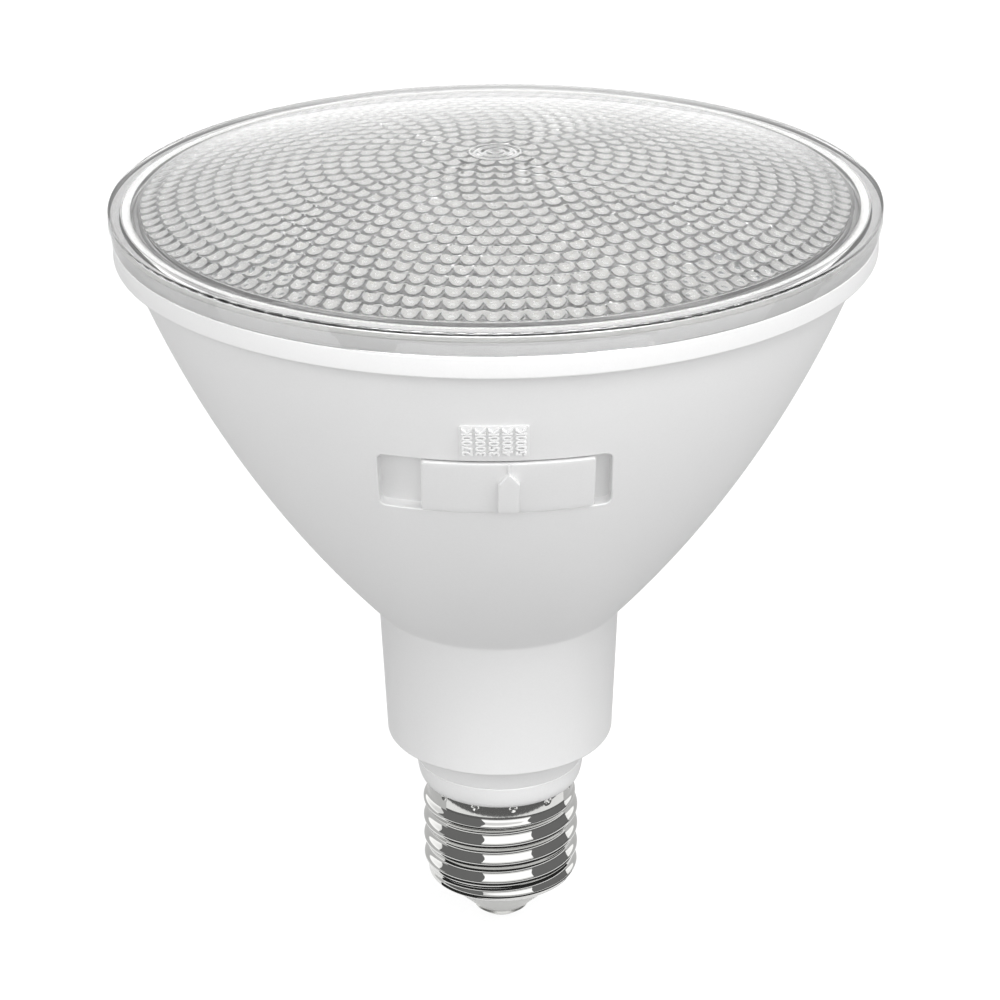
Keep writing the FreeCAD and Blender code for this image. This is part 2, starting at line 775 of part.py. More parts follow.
def bent_wire(points, radius):
    """Wire along straight runs joined by tangent bends, each as large as its runs allow."""
    pieces = []
    here = points[0]
    for before, corner, after in zip(points, points[1:], points[2:]):
        back = before - corner
        ahead = after - corner
        turn = math.pi - back.getAngle(ahead)
        trim = 0.45 * min(back.Length, ahead.Length)
        bend = trim / math.tan(turn / 2)
        axis = back.cross(ahead).normalize()
        start = corner + back * (trim / back.Length)
        centre = start + axis.cross(back).normalize() * bend
        pieces.append(rod(radius, here, start))
        section = Part.Face(Part.Wire(Part.makeCircle(radius, start, back)))
        pieces.append(section.revolve(centre, axis, -math.degrees(turn)))
        here = corner + ahead * (trim / ahead.Length)
    pieces.append(rod(radius, here, points[-1]))
    return pieces[0].multiFuse(pieces[1:])


def make_led_leads():
    """Three wires from the driver board up through the pan and the light board."""
    wires = []
    spread = 1.4
    soldered = 6.0
    upright = 3.0
    lean = 9.0
    below_pan = 5.0
    over_board = 2.5
    crest = 2.9
    crest_y = wire_hole_y + 2.2
    foot_y = wire_hole_y + wire_hole_r + 2.5
    for i in (-1, 0, 1):
        x = i * spread
        start = V(2 * x, half_board + lead_r + fit_gap / 2, board_top_z - soldered)
        wires.append(bent_wire([
            start, V(2 * x, start.y, board_top_z + upright),
            V(1.5 * x, wire_hole_y / 2, board_top_z + lean),
            V(x, wire_hole_y, pan_floor_z - below_pan),
            V(x, wire_hole_y, light_board_top_z + over_board),
            V(x, crest_y, light_board_top_z + crest),
            V(x, foot_y, light_board_top_z + lead_r)], lead_r))
    return Part.makeCompound(wires)


def make_switch_leads():
    """Three wires from the switch's board back to the driver board."""
    wires = []
    spread = 2.0
    edge_margin = 1.5
    straight = 6.0
    sag_run = 14.0
    sag = 5.0
    last_run_y = -12.0
    y = small_board_y() + small_board
    z = slot_mid_z - small_board_height / 2 + edge_margin
    end_z = board_top_z - lead_drop
    for i in (-1, 0, 1):
        x = i * spread
        wires.append(bent_wire([
            V(x, y, z), V(x, y + straight, z), V(x, y + sag_run, z - sag),
            V(x, last_run_y, end_z), V(x, -half_board, end_z)], lead_r))
    return Part.makeCompound(wires)


def make_neutral_lead():
    """Wire from the driver board's tab through the spigot's notch to the metal shell."""
    tab_z = neck_floor_z - tab_drop
    spigot_z = shell_top_z - spigot_depth
    shell_bore = thread_root_r - shell_wall
    x = tab_half - 2 * mains_r
    z = spigot_z + 2 * mains_r
    drop = 3.0
    knee_run = 1.5
    knee_rise = 0.5
    return bent_wire([V(x, 0, tab_z), V(x, 0, z + drop), V(x + knee_run, 0, z + knee_rise),
                      V(shell_bore - fit_gap, 0, z)], mains_r)


def make_live_lead():
    """Wire from the driver board's tab down into the centre contact."""
    return rod(mains_r, V(0, 0, contact_height + solder_depth), V(0, 0, neck_floor_z - tab_drop))


def thread_r(angle, z):
    """Radius of the rolled thread: a round wave along the axis that climbs with the angle and
    fades into the plain band at the top and into the foot at the bottom."""
    middle = (thread_crest_r + thread_root_r) / 2
    wave = (thread_crest_r - thread_root_r) / 2
    phase = 2 * math.pi * (z - shell_bottom_z - thread_start) / thread_pitch - angle
    top = (shell_top_z - thread_lead_in + thread_fade / 2 - z) / thread_fade
    foot = (z - shell_bottom_z) / thread_fade
    strength = max(0.0, min(1.0, top, foot))
    strength = strength * strength * (3 - 2 * strength)
    return thread_root_r + strength * (middle - thread_root_r + wave * math.cos(phase))


def make_screw_shell():
    """Rolled metal shell: the thread's wavy skin outside, a plain bore inside."""
    turns = 36
    levels = math.ceil(shell_length / (thread_pitch / 10))
    grid = []
    for i in range(turns + 1):
        angle = 2 * math.pi * i / turns
        column = []
        for j in range(levels + 1):
            z = shell_bottom_z + shell_length * j / levels
            r = thread_r(angle, z)
            column.append(V(r * math.cos(angle), r * math.sin(angle), z))
        grid.append(column)
    surface = Part.BSplineSurface()
    surface.interpolate(grid)
    skin = surface.toShape()
    faces = [skin]
    for edge in skin.Edges:
        if edge.BoundBox.ZLength < 1e-6:
            faces.append(Part.Face(Part.Wire([edge])))
    closed = Part.makeShell(faces)
    closed.sewShape()
    solid = Part.Solid(closed.Shells[0])
    if solid.Volume < 0:
        solid.reverse()
    bore = Part.makeCylinder(thread_root_r - shell_wall, 2 * shell_length,
                             V(0, 0, shell_bottom_z - shell_length / 2))
    return solid.cut(bore)


def make_insulator():
    """Pale cone that closes the base and holds the contact apart from the shell."""
    seat_r = thread_root_r - shell_wall - fit_gap
    top_z = shell_top_z - spigot_depth
    rim_r = seat_r - spigot_wall
    inner_z = contact_height + insulator_wall
    return turned((insulator_hole_r, contact_height), (contact_r, contact_height),
                  (seat_r - edge_round, shell_bottom_z), (seat_r, shell_bottom_z),
                  (seat_r, top_z), (rim_r, top_z), (rim_r, shell_bottom_z + sheet_wall),
                  (contact_r, inner_z), (insulator_hole_r, inner_z))


def make_centre_contact():
    """Riveted button: a rounded cone outside and a flared stem inside the insulator."""
    flare_z = contact_height + insulator_wall + fit_gap
    flare_top_z = flare_z + flare_height
    hole_r = mains_r + fit_gap / 2
    hole_z = contact_height + solder_depth
    return turned((0, 0), (contact_flat_r, 0),
                  (contact_bulge_r, contact_bulge_z, contact_r, contact_height - edge_round),
                  (contact_r, contact_height), (rivet_r, contact_height), (rivet_r, flare_z),
                  (flare_r, flare_z), (flare_r, flare_top_z), (hole_r, flare_top_z),
                  (hole_r, hole_z), (0, hole_z))


def build():
    """Every piece of the lamp by its name."""
    core, winding = make_transformer()
    front = -half_board - fit_gap / 2
    back = half_board + fit_gap / 2
    return {
        "lens": make_lens(),
        "lens_gasket": make_gasket(),
        "housing": make_housing(),
        "heat_sink": make_heat_sink(),
        "led_board": make_led_board(),
        "warm_leds": make_leds(0),
        "cool_leds": make_leds(1),
        "board_screws": make_board_screws(),
        "reflector": make_reflector(),
        "selector_slider": make_selector_slider(),
        "switch_body": make_switch_body(),
        "switch_lever": make_switch_lever(),
        "switch_board": make_switch_board(),
        "switch_screws": make_switch_screws(),
        "driver_board": make_driver_board(),
        "transformer_core": core,
        "transformer_winding": winding,
        "input_capacitor": can_capacitor(input_can_r, input_can_length, input_can_x,
                                         front - input_can_r, neck_floor_z + input_can_rise),
        "output_capacitor": can_capacitor(output_can_r, output_can_length, output_can_x,
                                          back + output_can_r, neck_floor_z + output_can_rise),
        "film_capacitor": make_film_capacitor(),
        "filter_choke": make_filter_choke(),
        "varistor": make_varistor(),
        "fuse_resistor": make_fuse_resistor(),
        "bridge_rectifier": chip(rectifier_height, rectifier_depth,
                                 neck_floor_z + rectifier_rise, 2),
        "driver_chip": chip(driver_chip_height, driver_chip_depth,
                            neck_floor_z + driver_chip_rise, 4),
        "led_leads": make_led_leads(),
        "switch_leads": make_switch_leads(),
        "neutral_lead": make_neutral_lead(),
        "live_lead": make_live_lead(),
        "screw_shell": make_screw_shell(),
        "insulator": make_insulator(),
        "centre_contact": make_centre_contact(),
    }


os.makedirs("parts", exist_ok=True)
for name, shape in build().items():
    shape.exportStep("parts/" + name + ".step")
    print(name, "solids", len(shape.Solids), "valid", shape.isValid(), "volume",
          round(shape.Volume, 1))
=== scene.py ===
"""Looks of a wide reflector lamp: a clear lens covered with small bumps, a white moulded housing
with a colour slider, and a plated screw base. Lengths are in millimetres until a mesh is made."""
import bmesh
import bpy
import math
import numpy as np
from mathutils import Matrix, Vector


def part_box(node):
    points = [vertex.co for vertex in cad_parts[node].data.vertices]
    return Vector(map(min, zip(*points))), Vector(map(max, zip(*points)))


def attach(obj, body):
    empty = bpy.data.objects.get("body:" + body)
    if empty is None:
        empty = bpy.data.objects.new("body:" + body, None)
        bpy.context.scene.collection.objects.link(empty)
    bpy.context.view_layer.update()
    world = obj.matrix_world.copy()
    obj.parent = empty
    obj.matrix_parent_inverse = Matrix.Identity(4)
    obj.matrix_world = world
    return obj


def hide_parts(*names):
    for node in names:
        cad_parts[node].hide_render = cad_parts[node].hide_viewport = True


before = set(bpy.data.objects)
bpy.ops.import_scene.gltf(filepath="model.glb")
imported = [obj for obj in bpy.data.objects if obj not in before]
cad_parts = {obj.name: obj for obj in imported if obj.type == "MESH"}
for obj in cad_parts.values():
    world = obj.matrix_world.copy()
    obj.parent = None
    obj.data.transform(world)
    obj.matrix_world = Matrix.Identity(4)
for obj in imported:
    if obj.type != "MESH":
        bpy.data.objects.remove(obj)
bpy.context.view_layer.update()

# CENTRE CONTACT
# The button at the lamp's tip, of nickel-plated brass. It is pressed as a blunt, slightly bulging
# cone and riveted through the insulator, so its edges are soft and its face is satin.
CONTACT_R = 4.6
CONTACT_HEIGHT = 2.3
CONTACT_FLAT_R = 1.6
CONTACT_EDGE = 0.4
CONTACT_BULGE = 1.4
RIVET_R = 1.5
RIVET_HEAD_R = 2.2
RIVET_HEAD = 0.5
MERGE_BELOW = 0.003


def linear(colour):
    """Linear colour of an sRGB hex value: the low part is divided by 12.92, the rest is raised
    to 2.4."""
    value = np.array([int(colour[i:i + 2], 16) for i in (1, 3, 5)]) / 255
    low = value / 12.92
    high = ((value + 0.055) / 1.055) ** 2.4
    return (*np.where(value > 0.04045, high, low), 1.0)


def add(tree, kind, sockets=None, **settings):
    """New node with its settings; each socket takes a value, or a link from another's output."""
    node = tree.nodes.new(kind)
    for field, value in settings.items():
        setattr(node, field, value)
    for socket, value in (sockets or {}).items():
        if isinstance(value, bpy.types.NodeSocket):
            tree.links.new(value, node.inputs[socket])
        else:
            node.inputs[socket].default_value = value
    return node


def new_material(name):
    """Empty material and its node tree."""
    material = bpy.data.materials.new(name)
    material.use_nodes = True
    material.node_tree.nodes.clear()
    return material, material.node_tree


def grained(name, base, fleck, roughness, grain, relief, metallic=0.0, ior=1.5,
            stretch=(1, 1, 1), **more):
    """Finish with grains of a real size in millimetres: the colour wanders from base to fleck
    and the skin rises by relief millimetres, both after the same noise."""
    material, tree = new_material(name)
    place = add(tree, "ShaderNodeTexCoord")
    stretched = add(tree, "ShaderNodeMapping", {"Vector": place.outputs["Object"],
                                               "Scale": stretch})
    noise = add(tree, "ShaderNodeTexNoise", {"Vector": stretched.outputs["Vector"],
                                             "Scale": 1000 / grain, "Detail": 2.0})
    tint = add(tree, "ShaderNodeMix", {"Factor": noise.outputs["Fac"], "A": linear(base),
                                       "B": linear(fleck)}, data_type="RGBA")
    bump = add(tree, "ShaderNodeBump", {"Height": noise.outputs["Fac"],
                                        "Distance": relief / 1000})
    sockets = {"Base Color": tint.outputs[2], "Roughness": roughness, "Metallic": metallic,
               "IOR": ior, "Normal": bump.outputs["Normal"]}
    sockets.update(more)
    shader = add(tree, "ShaderNodeBsdfPrincipled", sockets)
    add(tree, "ShaderNodeOutputMaterial", {"Surface": shader.outputs["BSDF"]})
    return material


def rounded(corners, steps=6):
    """Closed outline through (r, z, radius) corners. A corner with a radius becomes a tangent
    arc: its centre lies on the bisector, radius / sin(half the corner's angle) away."""
    outline = []
    for i, (r, z, radius) in enumerate(corners):
        here = np.array([r, z])
        if radius == 0:
            outline.append(here[None])
            continue
        back = np.array(corners[i - 1][:2]) - here
        ahead = np.array(corners[(i + 1) % len(corners)][:2]) - here
        back = back / np.hypot(*back)
        ahead = ahead / np.hypot(*ahead)
        half = math.acos(np.clip(back @ ahead, -1, 1)) / 2
        bisector = (back + ahead) / np.hypot(*(back + ahead))
        centre = here + bisector * radius / math.sin(half)
        start = here + back * radius / math.tan(half) - centre
        end = here + ahead * radius / math.tan(half) - centre
        turn = math.pi - 2 * half
        t = np.linspace(0, 1, steps + 1)[:, None]
        outline.append(centre + (np.sin((1 - t) * turn) * start + np.sin(t * turn) * end)
                       / math.sin(turn))
    return np.concatenate(outline)


def grid_faces(rows, columns, wrap_rows=False):
    """Quads of a grid of points that closes on itself along its columns."""
    i = np.arange(rows if wrap_rows else rows - 1)[:, None]
    j = np.arange(columns)[None]
    i_next = (i + 1) % rows
    j_next = (j + 1) % columns
    quads = np.stack([i * columns + j, i * columns + j_next, i_next * columns + j_next,
                      i_next * columns + j], axis=-1)
    return quads.reshape(-1, 4)


def turned(outline, columns, wrap=True):
    """Surface of a profile turned about the lamp's axis: x = r cos(a), y = r sin(a). Column 0
    points to the front, -Y."""
    angle = np.arange(columns) * 2 * math.pi / columns - math.pi / 2
    r = outline[:, :1]
    points = np.stack([r * np.cos(angle), r * np.sin(angle),
                       np.broadcast_to(outline[:, 1:], (len(outline), columns))], axis=-1)
    return points.reshape(-1, 3), grid_faces(len(outline), columns, wrap)


def triangles(faces):
    """The same faces as triangles."""
    if faces.shape[1] == 3:
        return faces
    return np.concatenate([faces[:, [0, 1, 2]], faces[:, [0, 2, 3]]])


def make_piece(name, points, faces, material, sharp_deg=35.0):
    """Object at the origin from points in millimetres and one or more arrays of faces. Points
    that fall together are merged, and the faces are turned outwards: the signed volume, a sixth
    of the sum of each triangle's triple product, has to be positive."""
    if not isinstance(faces, list):
        faces = [faces]
    corners = points[np.concatenate([triangles(f) for f in faces])]
    volume = np.einsum("ij,ij->", corners[:, 0], np.cross(corners[:, 1], corners[:, 2]))
    if volume < 0:
        faces = [f[:, ::-1] for f in faces]
    mesh = bpy.data.meshes.new(name)
    mesh.from_pydata((points / 1000).tolist(), [], [f for array in faces for f in array.tolist()])
    merge_close(mesh)
    mesh.shade_smooth()
    mesh.set_sharp_from_angle(angle=math.radians(sharp_deg))
    mesh.materials.append(material)
    piece = bpy.data.objects.new(name, mesh)
    bpy.context.scene.collection.objects.link(piece)
    return piece


def merge_close(mesh):
    """Merges points closer than a few thousandths of a millimetre, which closes seams and
    poles."""
    work = bmesh.new()
    work.from_mesh(mesh)
    bmesh.ops.remove_doubles(work, verts=work.verts, dist=MERGE_BELOW / 1000)
    work.to_mesh(mesh)
    work.free()
    mesh.validate()


def seat(piece, body, slot, *nodes):
    """Hangs a piece on its body and hides the nodes it stands for; its material slot is not used.
    """
    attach(piece, body)
    if nodes:
        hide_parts(*nodes)


stem_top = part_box("centre_contact")[1].z * 1000
way = np.linspace(0, 1, 12)[:, None]
contact_side = np.hstack([CONTACT_FLAT_R + (CONTACT_R - CONTACT_FLAT_R) * way,
                          (CONTACT_HEIGHT - CONTACT_EDGE) * way ** CONTACT_BULGE])
contact_back = rounded([(CONTACT_R, CONTACT_HEIGHT, 0.15), (RIVET_R, CONTACT_HEIGHT, 0),
                        (RIVET_R, stem_top - RIVET_HEAD, 0),
                        (RIVET_HEAD_R, stem_top - RIVET_HEAD, 0.1),
                        (RIVET_HEAD_R, stem_top, 0.1), (0.0, stem_top, 0)])
plated_contact = grained("nickel_plated_brass_pressed", "#C9C9C6", "#BEBEBB", 0.34, 0.6, 0.004,
                         metallic=1.0)
contact = make_piece("contact_button",
                     *turned(np.vstack([[0, 0], contact_side, contact_back]), 96), plated_contact)
seat(contact, "lamp", "nickel_contact", "centre_contact")

# INSULATOR
# The pale cone that holds the contact apart from the shell: moulded thermoset, pressed into the
# shell's foot, with a faint satin skin and soft edges.
INSULATOR_WALL = 2.6
INSULATOR_BORE_R = 1.6
INSULATOR_LIP = 0.4
INSULATOR_SIDE = 1.6
INSULATOR_FLOOR = 1.2
insulator_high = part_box("insulator")[1]
insulator_r = insulator_high.x * 1000
insulator_top = insulator_high.z * 1000
shell_low, shell_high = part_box("screw_shell")
shell_bottom = shell_low.z * 1000
shell_top = shell_high.z * 1000
insulator_outline = rounded([
    (INSULATOR_BORE_R, CONTACT_HEIGHT, 0), (CONTACT_R, CONTACT_HEIGHT, 0.1),
    (insulator_r - INSULATOR_LIP, shell_bottom, 0.3), (insulator_r, shell_bottom + 0.5, 0),
    (insulator_r, insulator_top, 0.2), (insulator_r - INSULATOR_SIDE, insulator_top, 0.2),
    (insulator_r - INSULATOR_SIDE, shell_bottom + INSULATOR_FLOOR, 0),
    (CONTACT_R, CONTACT_HEIGHT + INSULATOR_WALL, 0),
    (INSULATOR_BORE_R, CONTACT_HEIGHT + INSULATOR_WALL, 0)])
moulded_insulator = grained("thermoset_moulded_satin", "#E9E9E6", "#E2E2DF", 0.38, 0.5, 0.01)
insulator = make_piece("base_cone", *turned(insulator_outline, 128), moulded_insulator)
seat(insulator, "lamp", "base_insulator", "insulator")

# SCREW SHELL
# Thin brass sheet, nickel plated to a mirror, rolled with a round right-hand thread of seven
# turns to the inch. It is crimped to the collar by small dimples just under its upper edge.
THREAD_CREST_R = 13.1
THREAD_ROOT_R = 12.35
THREAD_PITCH = 3.629
THREAD_START = 12.06
PLAIN_BAND = 3.2
THREAD_FADE = 1.6
SHEET = 0.35
DIMPLES = 12
DIMPLE_R = 0.42
DIMPLE_DEPTH = 0.3
DIMPLE_DROP = 0.85
FIRST_DIMPLE_DEG = 10.5
SHELL_COLUMNS = 512
SHELL_ROWS = 132
ROLLED_IN = 0.12
ROLLED_TOP = 0.1
ROLLED_FOOT = 0.15


def thread_radius(angle, z):
    """Rolled thread: the root radius plus a cosine wave along the axis that climbs one pitch a
    turn and fades in and out by a smooth step at the two ends."""
    middle = (THREAD_CREST_R + THREAD_ROOT_R) / 2
    wave = (THREAD_CREST_R - THREAD_ROOT_R) / 2
    phase = 2 * math.pi * (z - shell_bottom - THREAD_START) / THREAD_PITCH - angle
    fade_in = (z - shell_bottom) / THREAD_FADE
    fade_out = (shell_top - PLAIN_BAND + THREAD_FADE / 2 - z) / THREAD_FADE
    strength = np.clip(np.minimum(fade_in, fade_out), 0, 1)
    strength = strength * strength * (3 - 2 * strength)
    return THREAD_ROOT_R + strength * (middle - THREAD_ROOT_R + wave * np.cos(phase))


def dimple_depth(angle, z):
    """Round dimples at even angles: a bell curve of the distance to the nearest dimple."""
    step = 2 * math.pi / DIMPLES
    first = math.radians(FIRST_DIMPLE_DEG) - math.pi / 2
    aside = ((angle - first + step / 2) % step - step / 2) * THREAD_ROOT_R
    above = z - (shell_top - DIMPLE_DROP)
    return DIMPLE_DEPTH * np.exp(-((aside ** 2 + above ** 2) / DIMPLE_R ** 2) ** 2)


angle = (np.arange(SHELL_COLUMNS) * 2 * math.pi / SHELL_COLUMNS)[None]
z = np.linspace(shell_bottom + ROLLED_FOOT, shell_top - ROLLED_TOP, SHELL_ROWS)[:, None]
radius = thread_radius(angle, z) - dimple_depth(angle, z)
# The sheet's two edges are rounded and its inside is plain: (out from the root, height).
edges = np.array([(-ROLLED_IN, shell_top), (ROLLED_TOP - SHEET, shell_top),
                  (-SHEET, shell_bottom + ROLLED_TOP), (ROLLED_IN - SHEET, shell_bottom),
                  (-ROLLED_IN, shell_bottom)])
edge_r = THREAD_ROOT_R + edges[:, :1] + 0 * angle
edge_z = edges[:, 1:]
radius = np.vstack([radius, edge_r])
z = np.vstack([z, edge_z]) + 0 * angle
shell_points = np.stack([radius * np.cos(angle), radius * np.sin(angle), z], axis=-1)
mirror_nickel = grained("nickel_plated_sheet_rolled", "#D6D6D4", "#CECECC", 0.035, 1.5, 0.001,
                        metallic=1.0)
shell = make_piece("thread_shell", shell_points.reshape(-1, 3),
                   grid_faces(len(radius), SHELL_COLUMNS, True), mirror_nickel, sharp_deg=50.0)
seat(shell, "lamp", "nickel_plate", "screw_shell")

# HOUSING
# One white moulding of flame-proof plastic: collar, neck, flared bowl and upright ring, with the
# slot for the slider and a raised panel over it. Its skin has a fine spark-eroded matt texture.
RING_R = 60.0
RING_HEIGHT = 3.3
BOWL_TOP_R = 57.8
BOWL_BOTTOM_R = 19.8
BOWL_CURVE_R = 185.0
BOWL_LENGTH = 62.8
NECK_BOTTOM_R = 18.8
NECK_LENGTH = 23.3
COLLAR_R = 14.0
COLLAR_FOOT_R = 12.8
COLLAR_BAND = 5.1
COLLAR_FLARE = 1.1
COLLAR_ARC = 0.97
WALL = 1.9
LIP_R = 58.35
LIP_WALL = 1.45
LIP_HEIGHT = 2.0
INNER_LEDGE = 2.5
SPIGOT_WALL = 1.6
SPIGOT_LENGTH = 14.0
SPIGOT_GAP = 0.1
SLOT_DROP = 30.0
SLOT_HEIGHT = 10.4
SLOT_CORNER = 1.0
SLOT_DEPTH = 3.0
SLOT_EDGE = 0.3
SLOT_FILLET = 2.2
WINDOW_MARGIN = 1.2
STEP_DEG = 2.4
POSITIONS = 5
PLATE_HALF = 12.8
PLATE_PROUD = 0.5
STOP_GAP = 0.25
SLIDE_GAP = 0.15
HOUSING_COLUMNS = 288
ROWS_BELOW = 30
ROWS_BESIDE = 14
ROWS_ABOVE = 16
ROWS_INSIDE = 24
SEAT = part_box("housing")[1].z * 1000 - LIP_HEIGHT
BOWL_TOP = SEAT - RING_HEIGHT
BOWL_BOTTOM = BOWL_TOP - BOWL_LENGTH
NECK_BOTTOM = BOWL_BOTTOM - NECK_LENGTH
SLOT_LOW = SEAT - SLOT_DROP
SLOT_HIGH = SLOT_LOW + SLOT_HEIGHT


def bowl_radius(z, inset=0.0):
    """The bowl's side is one arc. Its centre lies on the bisector of the chord between its two
    ends; r = centre_r + square root of ((R - inset) squared - (z - centre_z) squared)."""
    run = BOWL_TOP_R - BOWL_BOTTOM_R
    rise = BOWL_TOP - BOWL_BOTTOM
    chord = math.hypot(run, rise)
    reach = math.sqrt(BOWL_CURVE_R ** 2 - chord ** 2 / 4)
    centre_r = (BOWL_TOP_R + BOWL_BOTTOM_R) / 2 - reach * rise / chord
    centre_z = (BOWL_TOP + BOWL_BOTTOM) / 2 + reach * run / chord
    return centre_r + np.sqrt((BOWL_CURVE_R - inset) ** 2 - (z - centre_z) ** 2)


def bowl_span(low, high, rows, inset=0.0):
    """Profile points along the bowl's side."""
    z = np.linspace(low, high, rows)
    return np.stack([bowl_radius(z, inset), z], axis=-1)


def box_outline(half, low, high, corner, step=0.8, arc=8):
    """Rounded rectangle of (x, z) points, anticlockwise from its lower right corner: straight
    sides divided by the step, and quarter arcs between them."""
    parts = []
    for k, (x, z) in enumerate([(half, low), (half, high), (-half, high), (-half, low)]):
        turn = math.radians(90 * k) - math.pi / 2 + np.linspace(0, math.pi / 2, arc)
        centre = np.array([x - math.copysign(corner, x),
                           z + (corner if z == low else -corner)])
        parts.append(centre + corner * np.stack([np.cos(turn), np.sin(turn)], axis=-1))
        side = (high - low if k % 2 == 0 else 2 * half) - 2 * corner
        count = max(1, round(side / step))
        along = np.arange(1, count)[:, None] / count
        ahead = np.array([[0, side], [-side, 0], [0, -side], [side, 0]][k])
        parts.append(parts[-1][-1] + along * ahead)
    return np.concatenate(parts)


def grown(outline, distance):
    """Outline moved outwards along its normals, each normal at right angles to the line between
    a point's two neighbours."""
    along = np.roll(outline, -1, axis=0) - np.roll(outline, 1, axis=0)
    normal = np.stack([along[:, 1], -along[:, 0]], axis=-1)
    return outline + distance * normal / np.hypot(*normal.T)[:, None]


def terraces(outline, steps):
    """Loops of an outline laid on the bowl. A step is (distance grown, scale about the middle,
    inset below the bowl's side); y = -sqrt(bowl radius squared - x squared)."""
    middle = (outline.max(0) + outline.min(0)) / 2
    loops = []
    for distance, scale, inset in steps:
        loop = middle + (grown(outline, distance) - middle) * scale
        y = -np.sqrt(bowl_radius(loop[:, 1], inset) ** 2 - loop[:, 0] ** 2)
        loops.append(np.stack([loop[:, 0], y, loop[:, 1]], axis=-1))
    return np.concatenate(loops), grid_faces(len(steps), len(outline))


def seam(ids_a, turn_a, ids_b, turn_b):
    """Triangles between two closed loops with different counts. Each edge takes the other
    loop's current point, and the edges are walked in the order of their middles."""
    order_a = np.argsort(turn_a)
    order_b = np.argsort(turn_b)
    ids_a, turn_a = ids_a[order_a], turn_a[order_a]
    ids_b, turn_b = ids_b[order_b], turn_b[order_b]
    middle_a = (turn_a + np.append(turn_a[1:], turn_a[0] + 2 * math.pi)) / 2
    middle_b = (turn_b + np.append(turn_b[1:], turn_b[0] + 2 * math.pi)) / 2
    is_a = np.argsort(np.concatenate([middle_a, middle_b]), kind="stable") < len(ids_a)
    i = np.cumsum(is_a) - is_a
    j = np.cumsum(~is_a) - ~is_a
    a, b = ids_a[i % len(ids_a)], ids_b[j % len(ids_b)]
    tip = np.where(is_a, ids_a[(i + 1) % len(ids_a)], ids_b[(j + 1) % len(ids_b)])
    return np.stack([a, tip, b], axis=-1)


def bevel(width, from_inset, outwards, steps=4):
    """Steps of a rounded edge: the outline closes in or opens by width along a quarter circle."""
    turn = np.linspace(0, math.pi / 2, steps + 1)
    if outwards:
        return [(width * (1 - math.sin(t)), 1.0, from_inset + width * (1 - math.cos(t)))
                for t in turn]
    return [(-width * (1 - math.cos(t)), 1.0, from_inset + width * (1 - math.sin(t)))
            for t in turn]


def fill(inset, last=0.0, rings=6):
    """Steps that close a loop towards its middle."""
    return [(last, s, inset) for s in np.linspace(1, 0, rings + 1)[1:]]


travel_half = math.radians(STEP_DEG * (POSITIONS - 1) / 2)
slot_reach = bowl_radius(SLOT_HIGH, -PLATE_PROUD)
slot_half = slot_reach * math.sin(math.asin(PLATE_HALF / slot_reach) + travel_half) + STOP_GAP
collar_low = NECK_BOTTOM - COLLAR_BAND
spigot_r = THREAD_ROOT_R - SHEET - SPIGOT_GAP
spigot_low = shell_top - SPIGOT_LENGTH
# The collar's foot is nearly a quarter of an ellipse.
collar_turn = np.linspace(0, COLLAR_ARC * math.pi / 2, 10)[:, None]
collar_arc = np.hstack([COLLAR_FOOT_R + (COLLAR_R - COLLAR_FOOT_R) * np.sin(collar_turn),
                        collar_low - (collar_low - shell_top) * np.cos(collar_turn)])
# The first and the last corner only give the direction of their neighbours' arcs.
foot_corners = rounded([
    (COLLAR_R - 1, collar_low, 0), (COLLAR_R, collar_low, 0.2),
    (COLLAR_R + COLLAR_FLARE, NECK_BOTTOM, 0.25), (NECK_BOTTOM_R, NECK_BOTTOM, 0.5),
    (BOWL_BOTTOM_R, BOWL_BOTTOM, 0)], 4)[1:-1]
window_low = SLOT_LOW - WINDOW_MARGIN
window_high = SLOT_HIGH + WINDOW_MARGIN
top_corners = rounded([
    (bowl_radius(BOWL_TOP), BOWL_TOP, 0), (RING_R, BOWL_TOP, 0.45), (RING_R, SEAT, 0.2),
    (LIP_R, SEAT, 0), (LIP_R, SEAT + LIP_HEIGHT, 0.15),
    (LIP_R - LIP_WALL, SEAT + LIP_HEIGHT, 0.15),
    (LIP_R - LIP_WALL, SEAT - INNER_LEDGE, 0),
    (bowl_radius(SEAT - INNER_LEDGE, WALL), SEAT - INNER_LEDGE, 0)])
spans = [collar_arc, foot_corners, bowl_span(BOWL_BOTTOM, window_low, ROWS_BELOW),
         bowl_span(window_low, window_high, ROWS_BESIDE)[1:],
         bowl_span(window_high, BOWL_TOP, ROWS_ABOVE)[1:-1], top_corners,
         bowl_span(SEAT - INNER_LEDGE - 1, BOWL_BOTTOM, ROWS_INSIDE, WALL),
         [[NECK_BOTTOM_R - WALL, NECK_BOTTOM + WALL], [spigot_r - SPIGOT_WALL, NECK_BOTTOM + WALL],
          [spigot_r - SPIGOT_WALL, spigot_low], [spigot_r, spigot_low], [spigot_r, shell_top]]]
housing_outline = np.concatenate(spans)
housing_points, housing_faces = turned(housing_outline, HOUSING_COLUMNS)
